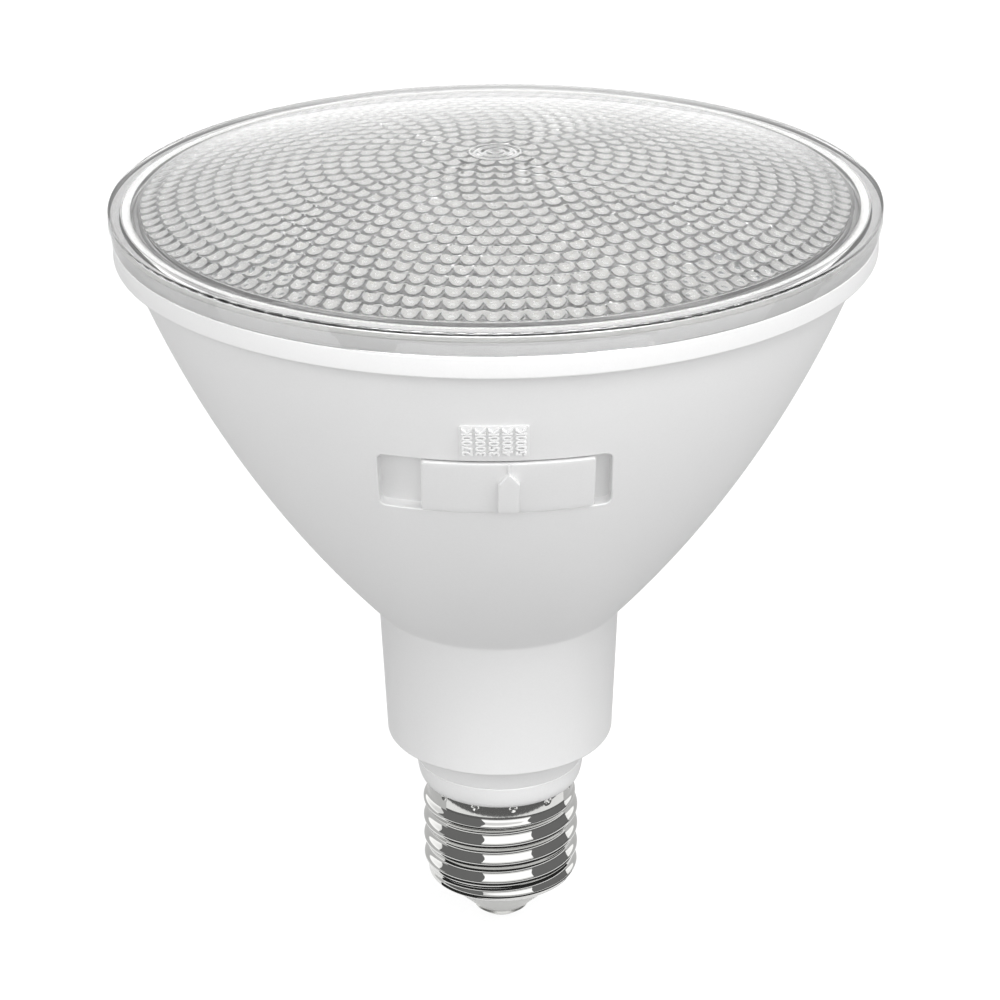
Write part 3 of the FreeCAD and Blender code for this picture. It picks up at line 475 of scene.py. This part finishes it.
# A window in the bowl's grid is left open, and the slot's own grid is sewn into it.
first_row = len(collar_arc) + len(foot_corners) + ROWS_BELOW - 1
last_row = first_row + ROWS_BESIDE - 1
half_window = math.ceil(math.degrees(math.asin(slot_half / bowl_radius(SLOT_LOW)))
                        * HOUSING_COLUMNS / 360 + 1)
face_row = np.repeat(np.arange(len(housing_outline)), HOUSING_COLUMNS)
face_column = np.tile(np.arange(HOUSING_COLUMNS), len(housing_outline))
face_column = (face_column + half_window) % HOUSING_COLUMNS
in_window = (face_row >= first_row) & (face_row < last_row) & (face_column < 2 * half_window)
housing_faces = housing_faces[~in_window]
across = np.arange(-half_window, half_window + 1) % HOUSING_COLUMNS
up = np.arange(first_row, last_row + 1)
window_loop = np.concatenate([
    first_row * HOUSING_COLUMNS + across[:-1], up[:-1] * HOUSING_COLUMNS + across[-1],
    last_row * HOUSING_COLUMNS + across[:0:-1], up[:0:-1] * HOUSING_COLUMNS + across[0]])
slot_outline = box_outline(slot_half, SLOT_LOW, SLOT_HIGH, SLOT_CORNER)
fillet = [(-SLOT_FILLET * (1 - math.cos(t)), 1.0, SLOT_DEPTH - SLOT_FILLET * (1 - math.sin(t)))
          for t in np.linspace(0, math.pi / 2, 5)]
slot_steps = bevel(SLOT_EDGE, 0.0, True) + fillet + fill(SLOT_DEPTH, -SLOT_FILLET)
slot_points, slot_faces = terraces(slot_outline, slot_steps)


def turn_about(points, middle_z, half, rise):
    """Direction of each point about the slot's middle, as on a square."""
    return np.arctan2((points[:, 2] - middle_z) / rise, points[:, 0] / half)


slot_middle = (SLOT_LOW + SLOT_HIGH) / 2
slot_rise = (SLOT_HIGH - SLOT_LOW) / 2
slot_offset = len(housing_points)
slot_seam = seam(
    window_loop, turn_about(housing_points[window_loop], slot_middle, slot_half, slot_rise),
    slot_offset + np.arange(len(slot_outline)),
    turn_about(slot_points[:len(slot_outline)], slot_middle, slot_half, slot_rise))
moulded_white = grained("flame_proof_plastic_moulded_matt", "#E6E6E6", "#E2E2E2", 0.5, 0.35,
                        0.012)
housing = make_piece("housing_shell", np.vstack([housing_points, slot_points]),
                     [housing_faces, slot_faces + slot_offset, slot_seam[:, ::-1]],
                     moulded_white, sharp_deg=40.0)
seat(housing, "lamp", "white_housing", "housing")

# NUMBER PANEL
# A raised field of the same moulding over the slot, with five raised numbers, one over each
# position of the pointer. They are colour temperatures and read upwards.
PANEL_HALF = 5.1
PANEL_LOW = SLOT_HIGH + 0.3
PANEL_HEIGHT = 6.7
PANEL_PROUD = 0.25
PANEL_ROOT = 0.6
PANEL_CORNER = 0.35
PANEL_EDGE = 0.06
NUMBER_PITCH = 1.95
NUMBER_HEIGHT = 1.62
NUMBER_LENGTH = 5.35
NUMBER_LOW = 1.15
NUMBER_PROUD = 0.42
NUMBER_ROOT = 0.1
NUMBERS = ["2700K", "3000K", "3500K", "4000K", "5000K"]

panel_outline = box_outline(PANEL_HALF, PANEL_LOW, PANEL_LOW + PANEL_HEIGHT, PANEL_CORNER, arc=4)
panel_steps = ([(0.0, 0.0, PANEL_ROOT), (0.0, 1.0, PANEL_ROOT),
                (0.0, 1.0, PANEL_EDGE - PANEL_PROUD)]
               + bevel(PANEL_EDGE, -PANEL_PROUD, False, 3) + fill(-PANEL_PROUD, -PANEL_EDGE))
panel = make_piece("number_panel", *terraces(panel_outline, panel_steps), moulded_white)
seat(panel, "lamp", "white_housing")


def raised_number(text, x):
    """Raised text that reads upwards on the bowl: its length runs along z, its height towards
    -x, and its thickness stands on the panel."""
    # It is drawn a unit high and made a mesh, which is then stretched to its real size.
    curve = bpy.data.curves.new("digits", "FONT")
    curve.body = text
    curve.size = 1.0
    curve.extrude = 0.1
    curve.bevel_depth = 0.035
    curve.bevel_resolution = 1
    curve.resolution_u = 3
    flat = bpy.data.objects.new("digits", curve)
    bpy.context.scene.collection.objects.link(flat)
    bpy.context.view_layer.update()
    mesh = bpy.data.meshes.new_from_object(flat.evaluated_get(
        bpy.context.evaluated_depsgraph_get()))
    bpy.data.objects.remove(flat)
    points = np.empty(len(mesh.vertices) * 3)
    mesh.vertices.foreach_get("co", points)
    points = points.reshape(-1, 3)
    low, high = points.min(0), points.max(0)
    unit = (points - low) / (high - low)
    across = x - (unit[:, 1] - 0.5) * NUMBER_HEIGHT
    z = PANEL_LOW + NUMBER_LOW + unit[:, 0] * NUMBER_LENGTH
    out = bowl_radius(z, -PANEL_PROUD + NUMBER_ROOT - unit[:, 2] * (NUMBER_PROUD + NUMBER_ROOT))
    y = -np.sqrt(out ** 2 - across ** 2)
    faces = [list(p.vertices) for p in mesh.polygons]
    return np.stack([across, y, z], axis=-1), faces


number_points = []
number_faces = []
for k, text in enumerate(NUMBERS):
    points, faces = raised_number(text, (k - (POSITIONS - 1) / 2) * NUMBER_PITCH)
    start = sum(len(p) for p in number_points)
    number_faces += [[start + v for v in face] for face in faces]
    number_points.append(points)
number_mesh = bpy.data.meshes.new("numbers")
number_mesh.from_pydata((np.concatenate(number_points) / 1000).tolist(), [], number_faces)
# The numbers are the housing's own moulding, but their colour is painted lighter than the
# housing's: a painted highlight on their faces, together with a glossier skin.
glossy_painted_highlight_white = grained("flame_proof_plastic_moulded_glossy_painted_highlight", "#F4F4F4", "#F1F1F1", 0.3,
                         0.35, 0.002)
number_mesh.materials.append(glossy_painted_highlight_white)
numbers = bpy.data.objects.new("raised_numbers", number_mesh)
bpy.context.scene.collection.objects.link(numbers)
merge_close(number_mesh)
seat(numbers, "lamp", "white_housing")

# HEAT SINK, LIGHT BOARD AND LIGHTS
# A drawn aluminium pan carries the white light board, whose two families of light-emitting
# packages have pale phosphor faces. They show only as soft shades through the lens's bumps.
inner_finish = {
    "heat_sink": grained("aluminium_drawn", "#C9CBCD", "#C2C4C6", 0.35, 0.8, 0.01, metallic=1.0),
    "led_board": grained("board_white_mask", "#F4F4F2", "#F0F0EE", 0.4, 0.5, 0.005),
    "warm_leds": grained("phosphor_silicone_warm", "#EEEDE8", "#EAE9E4", 0.35, 0.4, 0.005),
    "cool_leds": grained("phosphor_silicone_cool", "#EEEEEB", "#EAEAE7", 0.35, 0.4, 0.005),
    "board_screws": grained("steel_zinc_plated", "#C6C8CA", "#B9BBBD", 0.3, 0.3, 0.004,
                            metallic=1.0),
}

# REFLECTOR
# A glossy white cone moulded of filled polycarbonate. It rests on the light board and its rim
# lies on the pan's edge, under the lens's skirt.
BOARD_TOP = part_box("led_board")[1].z * 1000
PAN_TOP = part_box("heat_sink")[1].z * 1000
BOARD_R = 44.0
REFLECTOR_WALL = 1.2
REFLECTOR_GAP = 0.1
reflector_mouth = bowl_radius(PAN_TOP, WALL + REFLECTOR_GAP + 2 * REFLECTOR_WALL)
reflector_rim = bowl_radius(PAN_TOP, WALL + 2 * REFLECTOR_GAP)
reflector_outline = rounded([
    (BOARD_R - 2 * REFLECTOR_WALL, BOARD_TOP, 0.2), (BOARD_R, BOARD_TOP, 0.3),
    (reflector_mouth, PAN_TOP, 0.4), (reflector_rim, PAN_TOP, 0.1),
    (reflector_rim, PAN_TOP + REFLECTOR_WALL, 0.3),
    (reflector_mouth - REFLECTOR_WALL / 2, PAN_TOP + REFLECTOR_WALL, 0.8),
    (BOARD_R - REFLECTOR_WALL, BOARD_TOP + REFLECTOR_WALL, 0.8),
    (BOARD_R - 2 * REFLECTOR_WALL, BOARD_TOP + REFLECTOR_WALL, 0.2)])
reflector_white = grained("polycarbonate_white_glossy", "#F6F6F5", "#F2F2F1", 0.25, 0.8, 0.004,
                          ior=1.585)
reflector = make_piece("reflector_cone", *turned(reflector_outline, 192), reflector_white)
seat(reflector, "lamp", "white_reflector", "reflector")

# DRIVER AND SWITCH
# The driver board stands in the neck's grooves with its transformer, capacitors and small parts;
# the five-way switch sits behind the slot. Nothing of them shows while the lamp is whole.
inner_finish.update({
    "driver_board": grained("board_glass_epoxy_green", "#1E5A33", "#184C2A", 0.4, 0.5, 0.01),
    "switch_board": grained("board_glass_epoxy_small", "#1E5A33", "#184C2A", 0.4, 0.5, 0.01),
    "transformer_core": grained("ferrite_sintered", "#37373A", "#2C2C2F", 0.7, 0.3, 0.02),
    "filter_choke": grained("ferrite_drum_sintered", "#3A3A3C", "#2E2E30", 0.7, 0.3, 0.02),
    "transformer_winding": grained("polyester_tape_wound", "#D9B84A", "#CFAE40", 0.3, 0.6, 0.02),
    "input_capacitor": grained("sleeve_shrunk_dark", "#1E2230", "#262A38", 0.35, 0.5, 0.01),
    "output_capacitor": grained("sleeve_shrunk_black", "#1C1C20", "#242428", 0.35, 0.5, 0.01),
    "film_capacitor": grained("polyester_case_moulded", "#C9A24A", "#BF9840", 0.35, 0.5, 0.01),
    "varistor": grained("epoxy_dipped_blue", "#23508F", "#1D4580", 0.3, 0.9, 0.03),
    "fuse_resistor": grained("enamel_flame_proof_green", "#4C7650", "#436B47", 0.6, 0.4, 0.02),
    "bridge_rectifier": grained("epoxy_moulded_black", "#202020", "#191919", 0.6, 0.2, 0.01),
    "driver_chip": grained("epoxy_moulded_chip", "#1D1D1D", "#171717", 0.6, 0.2, 0.01),
    "switch_body": grained("steel_tinned_folded", "#B9BABB", "#AEAFB0", 0.35, 0.5, 0.01,
                           metallic=1.0),
    "switch_lever": grained("nylon_moulded_black", "#1B1B1B", "#232323", 0.5, 0.3, 0.01),
    "switch_screws": grained("steel_zinc_plated_small", "#C6C8CA", "#B9BBBD", 0.3, 0.3, 0.004,
                             metallic=1.0),
    "led_leads": grained("insulation_extruded_white", "#E8E8E4", "#E0E0DC", 0.4, 0.5, 0.01),
    "switch_leads": grained("insulation_extruded_pale", "#E8E8E4", "#E0E0DC", 0.4, 0.5, 0.01),
    "neutral_lead": grained("insulation_extruded_grey", "#D9D9D5", "#D0D0CC", 0.4, 0.5, 0.01),
    "live_lead": grained("insulation_extruded_black", "#2A2A2A", "#222222", 0.4, 0.5, 0.01),
})
for node, finish in inner_finish.items():
    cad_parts[node].data.materials.clear()
    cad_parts[node].data.materials.append(finish)

# SELECTOR SLIDER
# A curved plate of the housing's plastic that slides in the slot, with a raised pointer that
# ends in a thin ridge under the numbers. Its stem snaps through the slit behind it.
REST_POSITION = 4
PLATE_CORNER = 0.6
PLATE_EDGE = 0.3
PLATE_CHAMFER = 1.3
POINTER_WIDTH = 3.1
POINTER_PROUD = 1.0
POINTER_EDGE = 0.15
POINTER_ROOT = 0.5
POINTER_FOOT = 0.6
POINTER_SHOULDER = 6.4
POINTER_TIP = 8.5
RIDGE_WIDTH = 0.5
RIDGE_CORNER = 0.12
RIDGE_GAP = 0.05

plate_low = SLOT_LOW + SLIDE_GAP
plate_high = SLOT_HIGH - SLIDE_GAP
plate_back = SLOT_DEPTH - SLIDE_GAP
plate_steps = (fill(plate_back, -PLATE_CHAMFER)[::-1]
               + [(-PLATE_CHAMFER, 1.0, plate_back), (0.0, 1.0, plate_back - SLOT_FILLET),
                  (0.0, 1.0, PLATE_EDGE - PLATE_PROUD)]
               + bevel(PLATE_EDGE, -PLATE_PROUD, False)[1:] + fill(-PLATE_PROUD, -PLATE_EDGE))
plate_points, plate_faces = terraces(
    box_outline(PLATE_HALF, plate_low, plate_high, PLATE_CORNER), plate_steps)
pointer_corners = [
    (-POINTER_WIDTH / 2, plate_low + POINTER_FOOT, 0.4),
    (POINTER_WIDTH / 2, plate_low + POINTER_FOOT, 0.4),
    (POINTER_WIDTH / 2, plate_low + POINTER_SHOULDER, 0.3),
    (0.0, plate_low + POINTER_TIP, 0.25),
    (-POINTER_WIDTH / 2, plate_low + POINTER_SHOULDER, 0.3)]
pointer_top = -PLATE_PROUD - POINTER_PROUD
pointer_steps = ([(0.0, 0.0, POINTER_ROOT), (0.0, 1.0, POINTER_ROOT),
                  (0.0, 1.0, pointer_top + POINTER_EDGE)]
                 + bevel(POINTER_EDGE, pointer_top, False)[1:]
                 + fill(pointer_top, -POINTER_EDGE, 3))
pointer_points, pointer_faces = terraces(rounded(pointer_corners, 4), pointer_steps)
ridge_outline = box_outline(RIDGE_WIDTH / 2, plate_low + POINTER_TIP - RIDGE_WIDTH,
                            plate_high - RIDGE_GAP, RIDGE_CORNER, 0.5, 3)
ridge_top = -PLATE_PROUD - RIDGE_WIDTH
ridge_steps = [(0.0, 0.0, POINTER_ROOT), (0.0, 1.0, POINTER_ROOT),
               (0.0, 1.0, ridge_top + POINTER_EDGE), (-0.06, 1.0, ridge_top + 0.03),
               (-POINTER_EDGE, 1.0, ridge_top), (-POINTER_EDGE, 0.0, ridge_top)]
ridge_points, ridge_faces = terraces(ridge_outline, ridge_steps)
slider_points = np.vstack([plate_points, pointer_points, ridge_points])
slider_faces = [plate_faces, pointer_faces + len(plate_points),
                ridge_faces + len(plate_points) + len(pointer_points)]
rest_turn = math.radians(STEP_DEG * (REST_POSITION - (POSITIONS + 1) / 2))
turn = np.array([[math.cos(rest_turn), -math.sin(rest_turn), 0],
                 [math.sin(rest_turn), math.cos(rest_turn), 0], [0, 0, 1]])
slider_white = grained("flame_proof_plastic_slider_matt", "#E6E6E6", "#E1E1E1", 0.5, 0.35, 0.012)
slider = make_piece("slider_plate", slider_points @ turn.T, slider_faces, slider_white)
seat(slider, "selector", "white_slider", "selector_slider")

# GASKET
# A soft ring of pale silicone, squeezed between the housing's lip and the lens.
GASKET_HEIGHT = 0.9
FACE_GAP = 0.05
gasket_low = SEAT + LIP_HEIGHT
gasket_high = gasket_low + GASKET_HEIGHT - FACE_GAP
gasket_outline = rounded([
    (LIP_R - LIP_WALL, gasket_low, 0.1), (LIP_R, gasket_low, 0.2),
    (LIP_R, gasket_high, 0.2), (LIP_R - LIP_WALL, gasket_high, 0.1)])
silicone = grained("silicone_pale_moulded", "#F0F0EE", "#E6E6E4", 0.5, 0.6, 0.03, ior=1.41)
gasket = make_piece("rim_gasket", *turned(gasket_outline, 192), silicone)
seat(gasket, "lamp", "silicone", "lens_gasket")

# LENS
# Clear moulded polycarbonate: a low dome with a flat land and a rim that drops over the housing's
# lip. Inside it are eighteen rings of small round bumps, each ring clocked past the one before.
LENS_R = 60.5
LENS_WALL = 1.8
DOME_RISE = 7.4
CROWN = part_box("lens")[1].z * 1000
LAND = CROWN - DOME_RISE
LAND_WIDTH = 4.2
RIM_BEVEL = 0.3
RIM_SIDE_LOW = 2.05
RIM_CLEAR = 0.1
SKIRT_WALL = 1.3
SKIRT_DROP = 2.2
LENS_COLUMNS = 256
DOME_START = 0.97
DOME_ROWS = 30
BUMP_PITCH = 2.83
BUMP_DEPTH = 0.42
BUMP_VALLEY = 0.4
FIRST_RING = 2
LAST_RING = 19
BUMPS_PER_STEP = 6
RING_TURN_DEG = 2.0
RING_START_DEG = -15.8
VALLEY_RUN = 0.3
CELL_COLUMNS = 8
CELL_ROWS = 7
SEAM_HALF = 0.02
EYE_R = 4.0
EYE_ROWS = 25
EYE_RIPPLE = 0.05
EYE_PITCH = 1.6

dome_foot_r = LENS_R - LAND_WIDTH - RIM_BEVEL
dome_curve = (dome_foot_r ** 2 + DOME_RISE ** 2) / (2 * DOME_RISE)


def dome_z(r, inset):
    """Spherical dome: z = crown - R + square root of ((R - inset) squared - r squared)."""
    return CROWN - dome_curve + np.sqrt((dome_curve - inset) ** 2 - r ** 2)


def to_nearest(number, r, angle):
    """Distance in plan to the nearest bump of a ring, by the law of cosines."""
    step = 2 * math.pi / (BUMPS_PER_STEP * number)
    start = math.radians(RING_START_DEG + RING_TURN_DEG * number) - math.pi / 2
    aside = (angle - start + step / 2) % step - step / 2
    ring_r = number * BUMP_PITCH
    return np.sqrt(r ** 2 + ring_r ** 2 - 2 * r * ring_r * np.cos(aside))


def bump_depth(r, angle):
    """Every point belongs to the nearest bump of its own or a neighbouring ring. A bump is a
    pillow, flat in the middle and steep at its edge: depth x (1 - (d / half pitch) to the fourth),
    and no valley is deeper than its limit, which grows from nothing round the smooth middle."""
    nearest = np.clip(np.round(r / BUMP_PITCH), FIRST_RING, LAST_RING)
    distance = np.full(np.broadcast(r, angle).shape, np.inf)
    for number in range(max(FIRST_RING, int(nearest.min()) - 1),
                        min(LAST_RING, int(nearest.max()) + 1) + 1):
        distance = np.minimum(distance, to_nearest(number, r, angle))
    pillow = BUMP_DEPTH * (1 - (2 * distance / BUMP_PITCH) ** 4)
    outwards = np.clip(r / BUMP_PITCH - FIRST_RING + 0.5, 0, VALLEY_RUN) / VALLEY_RUN
    return np.maximum(pillow, -BUMP_VALLEY * outwards)


def bump_ring(number):
    """Band of one ring of bumps: an even grid, finer in rows near its two seams."""
    columns = BUMPS_PER_STEP * number * CELL_COLUMNS
    start = math.radians(RING_START_DEG + RING_TURN_DEG * number) - math.pi / 2
    angle = (start + np.arange(columns) * 2 * math.pi / columns)[None]
    v = np.sin(np.linspace(-1, 1, CELL_ROWS + 1) * math.pi / 2)[:, None]
    r = number * BUMP_PITCH + v * (BUMP_PITCH / 2 - SEAM_HALF)
    z = dome_z(r, LENS_WALL) - bump_depth(r, angle)
    points = np.stack([r * np.cos(angle), r * np.sin(angle), z], axis=-1)
    return points.reshape(-1, 3), grid_faces(CELL_ROWS + 1, columns), angle[0]


skirt_outer_r = LIP_R - LIP_WALL - RIM_CLEAR
skirt_inner_r = skirt_outer_r - SKIRT_WALL
skirt_low = SEAT - SKIRT_DROP
carpet_r = (LAST_RING + 0.5) * BUMP_PITCH
groove_z = gasket_low + GASKET_HEIGHT
rim_corners = rounded([
    (skirt_inner_r, float(dome_z(carpet_r, LENS_WALL)), 0.3), (skirt_inner_r, skirt_low, 0.3),
    (skirt_outer_r, skirt_low, 0.3), (skirt_outer_r, groove_z, 0.2),
    (LIP_R + RIM_CLEAR, groove_z, 0.25), (LIP_R + RIM_CLEAR, SEAT + FACE_GAP, 0.1),
    (RING_R, SEAT + FACE_GAP, 0.15),
    (LENS_R, SEAT + RIM_SIDE_LOW, 0.4), (LENS_R, LAND, 0.15), (dome_foot_r, LAND, 0.4),
    (DOME_START * dome_foot_r, float(dome_z(DOME_START * dome_foot_r, 0)), 0),
    (0, CROWN, 0)], 4)[:-2]
dome_r = np.linspace(DOME_START, 0, DOME_ROWS)[:, None] * dome_foot_r
rim_outline = np.vstack([rim_corners, np.hstack([dome_r, dome_z(dome_r, 0)])])
rim_points, rim_faces = turned(rim_outline, LENS_COLUMNS, False)
lens_points = [rim_points]
lens_faces = [rim_faces]
rim_turn = (np.arange(LENS_COLUMNS) * 2 * math.pi / LENS_COLUMNS - math.pi / 2) % (2 * math.pi)
last_ids, last_turn = None, None
offset = len(rim_points)
for number in range(FIRST_RING, LAST_RING + 1):
    points, faces, turns = bump_ring(number)
    turns = turns % (2 * math.pi)
    lens_points.append(points)
    lens_faces.append(faces + offset)
    if last_ids is not None:
        lens_faces.append(seam(last_ids, last_turn, offset + np.arange(len(turns)), turns))
    else:
        centre_ids, centre_turn = offset + np.arange(len(turns)), turns
    last_ids = offset + len(points) - len(turns) + np.arange(len(turns))
    last_turn = turns
    offset += len(points)
lens_faces.append(seam(last_ids, last_turn, np.arange(LENS_COLUMNS), rim_turn))
eye_columns = len(centre_ids)
# The smooth disc in the middle, with its faint rings: a cosine wave along the radius.
eye_r = np.linspace(EYE_R, 0.0, EYE_ROWS)[:, None]
eye_angle = np.arange(eye_columns) * 2 * math.pi / eye_columns
eye = np.stack([eye_r * np.cos(eye_angle), eye_r * np.sin(eye_angle),
                dome_z(eye_r, LENS_WALL) + EYE_RIPPLE * np.cos(eye_r / EYE_PITCH * 2 * math.pi)
                + 0 * eye_angle], axis=-1).reshape(-1, 3)
lens_points.append(eye)
lens_faces.append(grid_faces(len(eye_r), eye_columns)[:, ::-1] + offset)
lens_faces.append(seam(offset + np.arange(eye_columns), eye_angle, centre_ids, centre_turn))

# Clear and glossy. Its body takes a little light, so the long ways through it, at the rim and in
# the bumps' steep edges, look grey.
clear, tree = new_material("polycarbonate_clear_moulded")
shader = add(tree, "ShaderNodeBsdfPrincipled", {
    "Base Color": linear("#FBFBFB"), "Roughness": 0.02, "IOR": 1.585,
    "Transmission Weight": 1.0})
body = add(tree, "ShaderNodeVolumeAbsorption", {"Color": linear("#808080"), "Density": 98.0})
add(tree, "ShaderNodeOutputMaterial", {"Surface": shader.outputs["BSDF"],
                                       "Volume": body.outputs["Volume"]})
lens = make_piece("lens_dome", np.concatenate(lens_points), lens_faces, clear,
                  sharp_deg=28.0)
seat(lens, "lamp", "clear_lens", "lens")

# STAGE
# A pale floor that the lamp's tip stands on, an even white surround, soft lamps, and the camera
# at the photograph's angle.
CAMERA_DISTANCE = 474.04
CAMERA_ASIDE = 0.33
CAMERA_HEIGHT = 162.27
CAMERA_TURN_DEG = 0.5
CAMERA_PITCH_DEG = 23.953
CAMERA_ROLL_DEG = 0.46
CAMERA_LENS = 114.257
FLOOR_REACH = 1.2
FLOOR_GLOW = 0.85
SURROUND_LIGHT = 0.33
CARD_STEPS = 24
CARD_FADE = 0.6
AIM_HEIGHT = 0.09

scene = bpy.context.scene
camera_data = bpy.data.cameras.new("camera")
camera_data.sensor_width = 36.0
camera_data.lens = CAMERA_LENS
camera_data.clip_start = 0.01
camera = bpy.data.objects.new("camera", camera_data)
scene.collection.objects.link(camera)
around = Matrix.Rotation(math.radians(CAMERA_TURN_DEG), 4, "Z")
stand = Vector((CAMERA_ASIDE, -CAMERA_DISTANCE, SEAT + CAMERA_HEIGHT)) / 1000
camera.matrix_world = (around @ Matrix.Translation(stand)
                       @ Matrix.Rotation(math.radians(90 - CAMERA_PITCH_DEG), 4, "X")
                       @ Matrix.Rotation(math.radians(-CAMERA_ROLL_DEG), 4, "Z"))
scene.camera = camera

floor_mesh = bpy.data.meshes.new("floor")
floor_mesh.from_pydata([(-FLOOR_REACH, -FLOOR_REACH, 0), (FLOOR_REACH, -FLOOR_REACH, 0),
                        (FLOOR_REACH, FLOOR_REACH, 0), (-FLOOR_REACH, FLOOR_REACH, 0)], [],
                       [(0, 1, 2, 3)])
floor = bpy.data.objects.new("floor", floor_mesh)
scene.collection.objects.link(floor)


def background_rays(tree):
    """1 for rays that look at the background: the camera's, and those through metal and glass.
    All others, which carry light to the lamp, get 0."""
    path = add(tree, "ShaderNodeLightPath")
    seen = add(tree, "ShaderNodeMath", {0: path.outputs["Is Camera Ray"],
                                        1: path.outputs["Is Glossy Ray"]}, operation="ADD")
    return add(tree, "ShaderNodeMath", {0: seen.outputs[0],
                                        1: path.outputs["Is Transmission Ray"]},
               operation="ADD", use_clamp=True).outputs[0]


pale, tree = new_material("floor_pale")
matt = add(tree, "ShaderNodeBsdfDiffuse", {"Color": linear("#9C9C9C")})
shade = add(tree, "ShaderNodeBsdfDiffuse", {"Color": linear("#7A7A7A")})
glow = add(tree, "ShaderNodeEmission", {"Color": (1, 1, 1, 1), "Strength": FLOOR_GLOW})
lit = add(tree, "ShaderNodeAddShader", {0: shade.outputs[0], 1: glow.outputs[0]})
mix = add(tree, "ShaderNodeMixShader", {0: background_rays(tree), 1: matt.outputs[0],
                                        2: lit.outputs[0]})
add(tree, "ShaderNodeOutputMaterial", {"Surface": mix.outputs[0]})
floor_mesh.materials.append(pale)

world = bpy.data.worlds.new("white_surround")
scene.world = world
world.use_nodes = True
tree = world.node_tree
tree.nodes.clear()
strength = add(tree, "ShaderNodeMapRange", {"Value": background_rays(tree),
                                            "To Min": SURROUND_LIGHT, "To Max": 1.0})
sky = add(tree, "ShaderNodeBackground", {"Color": (1, 1, 1, 1),
                                         "Strength": strength.outputs[0]})
add(tree, "ShaderNodeOutputWorld", {"Surface": sky.outputs[0]})


def flag(name, start, end, from_deg, to_deg, material):
    """Card that only mirror-like skins see, as a studio sets them round shiny metal. It runs
    from one (radius, height) to another, and round the lamp's axis from one angle to another;
    angles are 0 at the front and grow to the right."""
    turn = np.radians(np.linspace(from_deg, to_deg, CARD_STEPS + 1) - 90)
    rows = np.array([start, end], dtype=float)
    points = np.stack([rows[:, :1] * np.cos(turn), rows[:, :1] * np.sin(turn),
                       rows[:, 1:] + 0 * turn], axis=-1).reshape(-1, 3)
    mesh = bpy.data.meshes.new(name)
    near = np.arange(CARD_STEPS)
    far = near + CARD_STEPS + 1
    mesh.from_pydata((points / 1000).tolist(), [],
                     np.stack([near, near + 1, far + 1, far], axis=-1).tolist())
    mesh.materials.append(material)
    card = bpy.data.objects.new(name, mesh)
    scene.collection.objects.link(card)
    for ray in ("camera", "diffuse", "transmission", "volume_scatter", "shadow"):
        setattr(card, "visible_" + ray, False)


def cloth(name, colour, foot=1.0, head=1.0):
    """A card's cloth, which shows its own colour in a reflection. Its strength goes from foot to
    head by a smooth step, over the first 600 mm above the floor."""
    material, tree = new_material(name)
    place = add(tree, "ShaderNodeTexCoord")
    place = add(tree, "ShaderNodeSeparateXYZ", {0: place.outputs["Object"]})
    fade = add(tree, "ShaderNodeMapRange", {"Value": place.outputs["Z"], "From Max": CARD_FADE,
                                            "To Min": foot, "To Max": head},
               interpolation_type="SMOOTHSTEP")
    shade = add(tree, "ShaderNodeEmission", {"Color": linear(colour),
                                             "Strength": fade.outputs["Result"]})
    add(tree, "ShaderNodeOutputMaterial", {"Surface": shade.outputs[0]})
    return material


black_cloth = cloth("flag_black_cloth", "#303030")
grey_cloth = cloth("flag_grey_cloth", "#6E6E6E")
side_cloth = cloth("flag_side_cloth", "#7C7C7C")
pale_cloth = cloth("flag_pale_cloth", "#D4D4D4")
bright_cloth = cloth("flag_bright_cloth", "#FFFFFF", 1.5)
white_cloth = cloth("flag_white_cloth", "#FFFFFF", 1.6, 1.6)
flag("flag_near", (14.5, 1), (33, 1), -85, 108, black_cloth)
flag("flag_far", (55, 1), (650, 1), -85, 108, grey_cloth)
flag("flag_rear", (33, 1), (650, 1), 108, 275, pale_cloth)
flag("flag_left", (700, 0), (700, 900), -98, -28, side_cloth)
flag("flag_right", (700, 0), (700, 900), 45, 109, side_cloth)
flag("flag_bright", (1500, 0), (1500, 600), 100, 260, bright_cloth)
flag("flag_white", (1150, 300), (1150, 1080), -32, 49, white_cloth)


def softbox(name, place, width, height, power):
    """Rectangular area lamp, in metres and watts, aimed at the middle of the bowl. Mirror-like
    skins don't show it, because they show the cards."""
    data = bpy.data.lights.new(name, "AREA")
    data.shape = "RECTANGLE"
    data.size = width
    data.size_y = height
    data.energy = power
    lamp = bpy.data.objects.new(name, data)
    scene.collection.objects.link(lamp)
    lamp.visible_glossy = False
    aim = Vector((0, 0, AIM_HEIGHT)) - Vector(place)
    lamp.matrix_world = (Matrix.Translation(place)
                         @ aim.to_track_quat("-Z", "Y").to_matrix().to_4x4())


softbox("key", (0.17, -1.1, 0.68), 1.75, 0.9, 12.2)
softbox("high", (0.5, -0.6, 0.95), 0.25, 0.25, 2.8)
softbox("left", (-1.0, -0.45, 0.35), 0.8, 0.7, 4.0)
softbox("right", (1.0, -0.45, 0.35), 0.8, 0.7, 2.8)
softbox("rear", (0.0, 1.3, 0.6), 1.8, 0.9, 11.0)
softbox("top", (0.0, 0.1, 1.3), 0.9, 0.9, 12.0)

scene.view_settings.view_transform = "Standard"
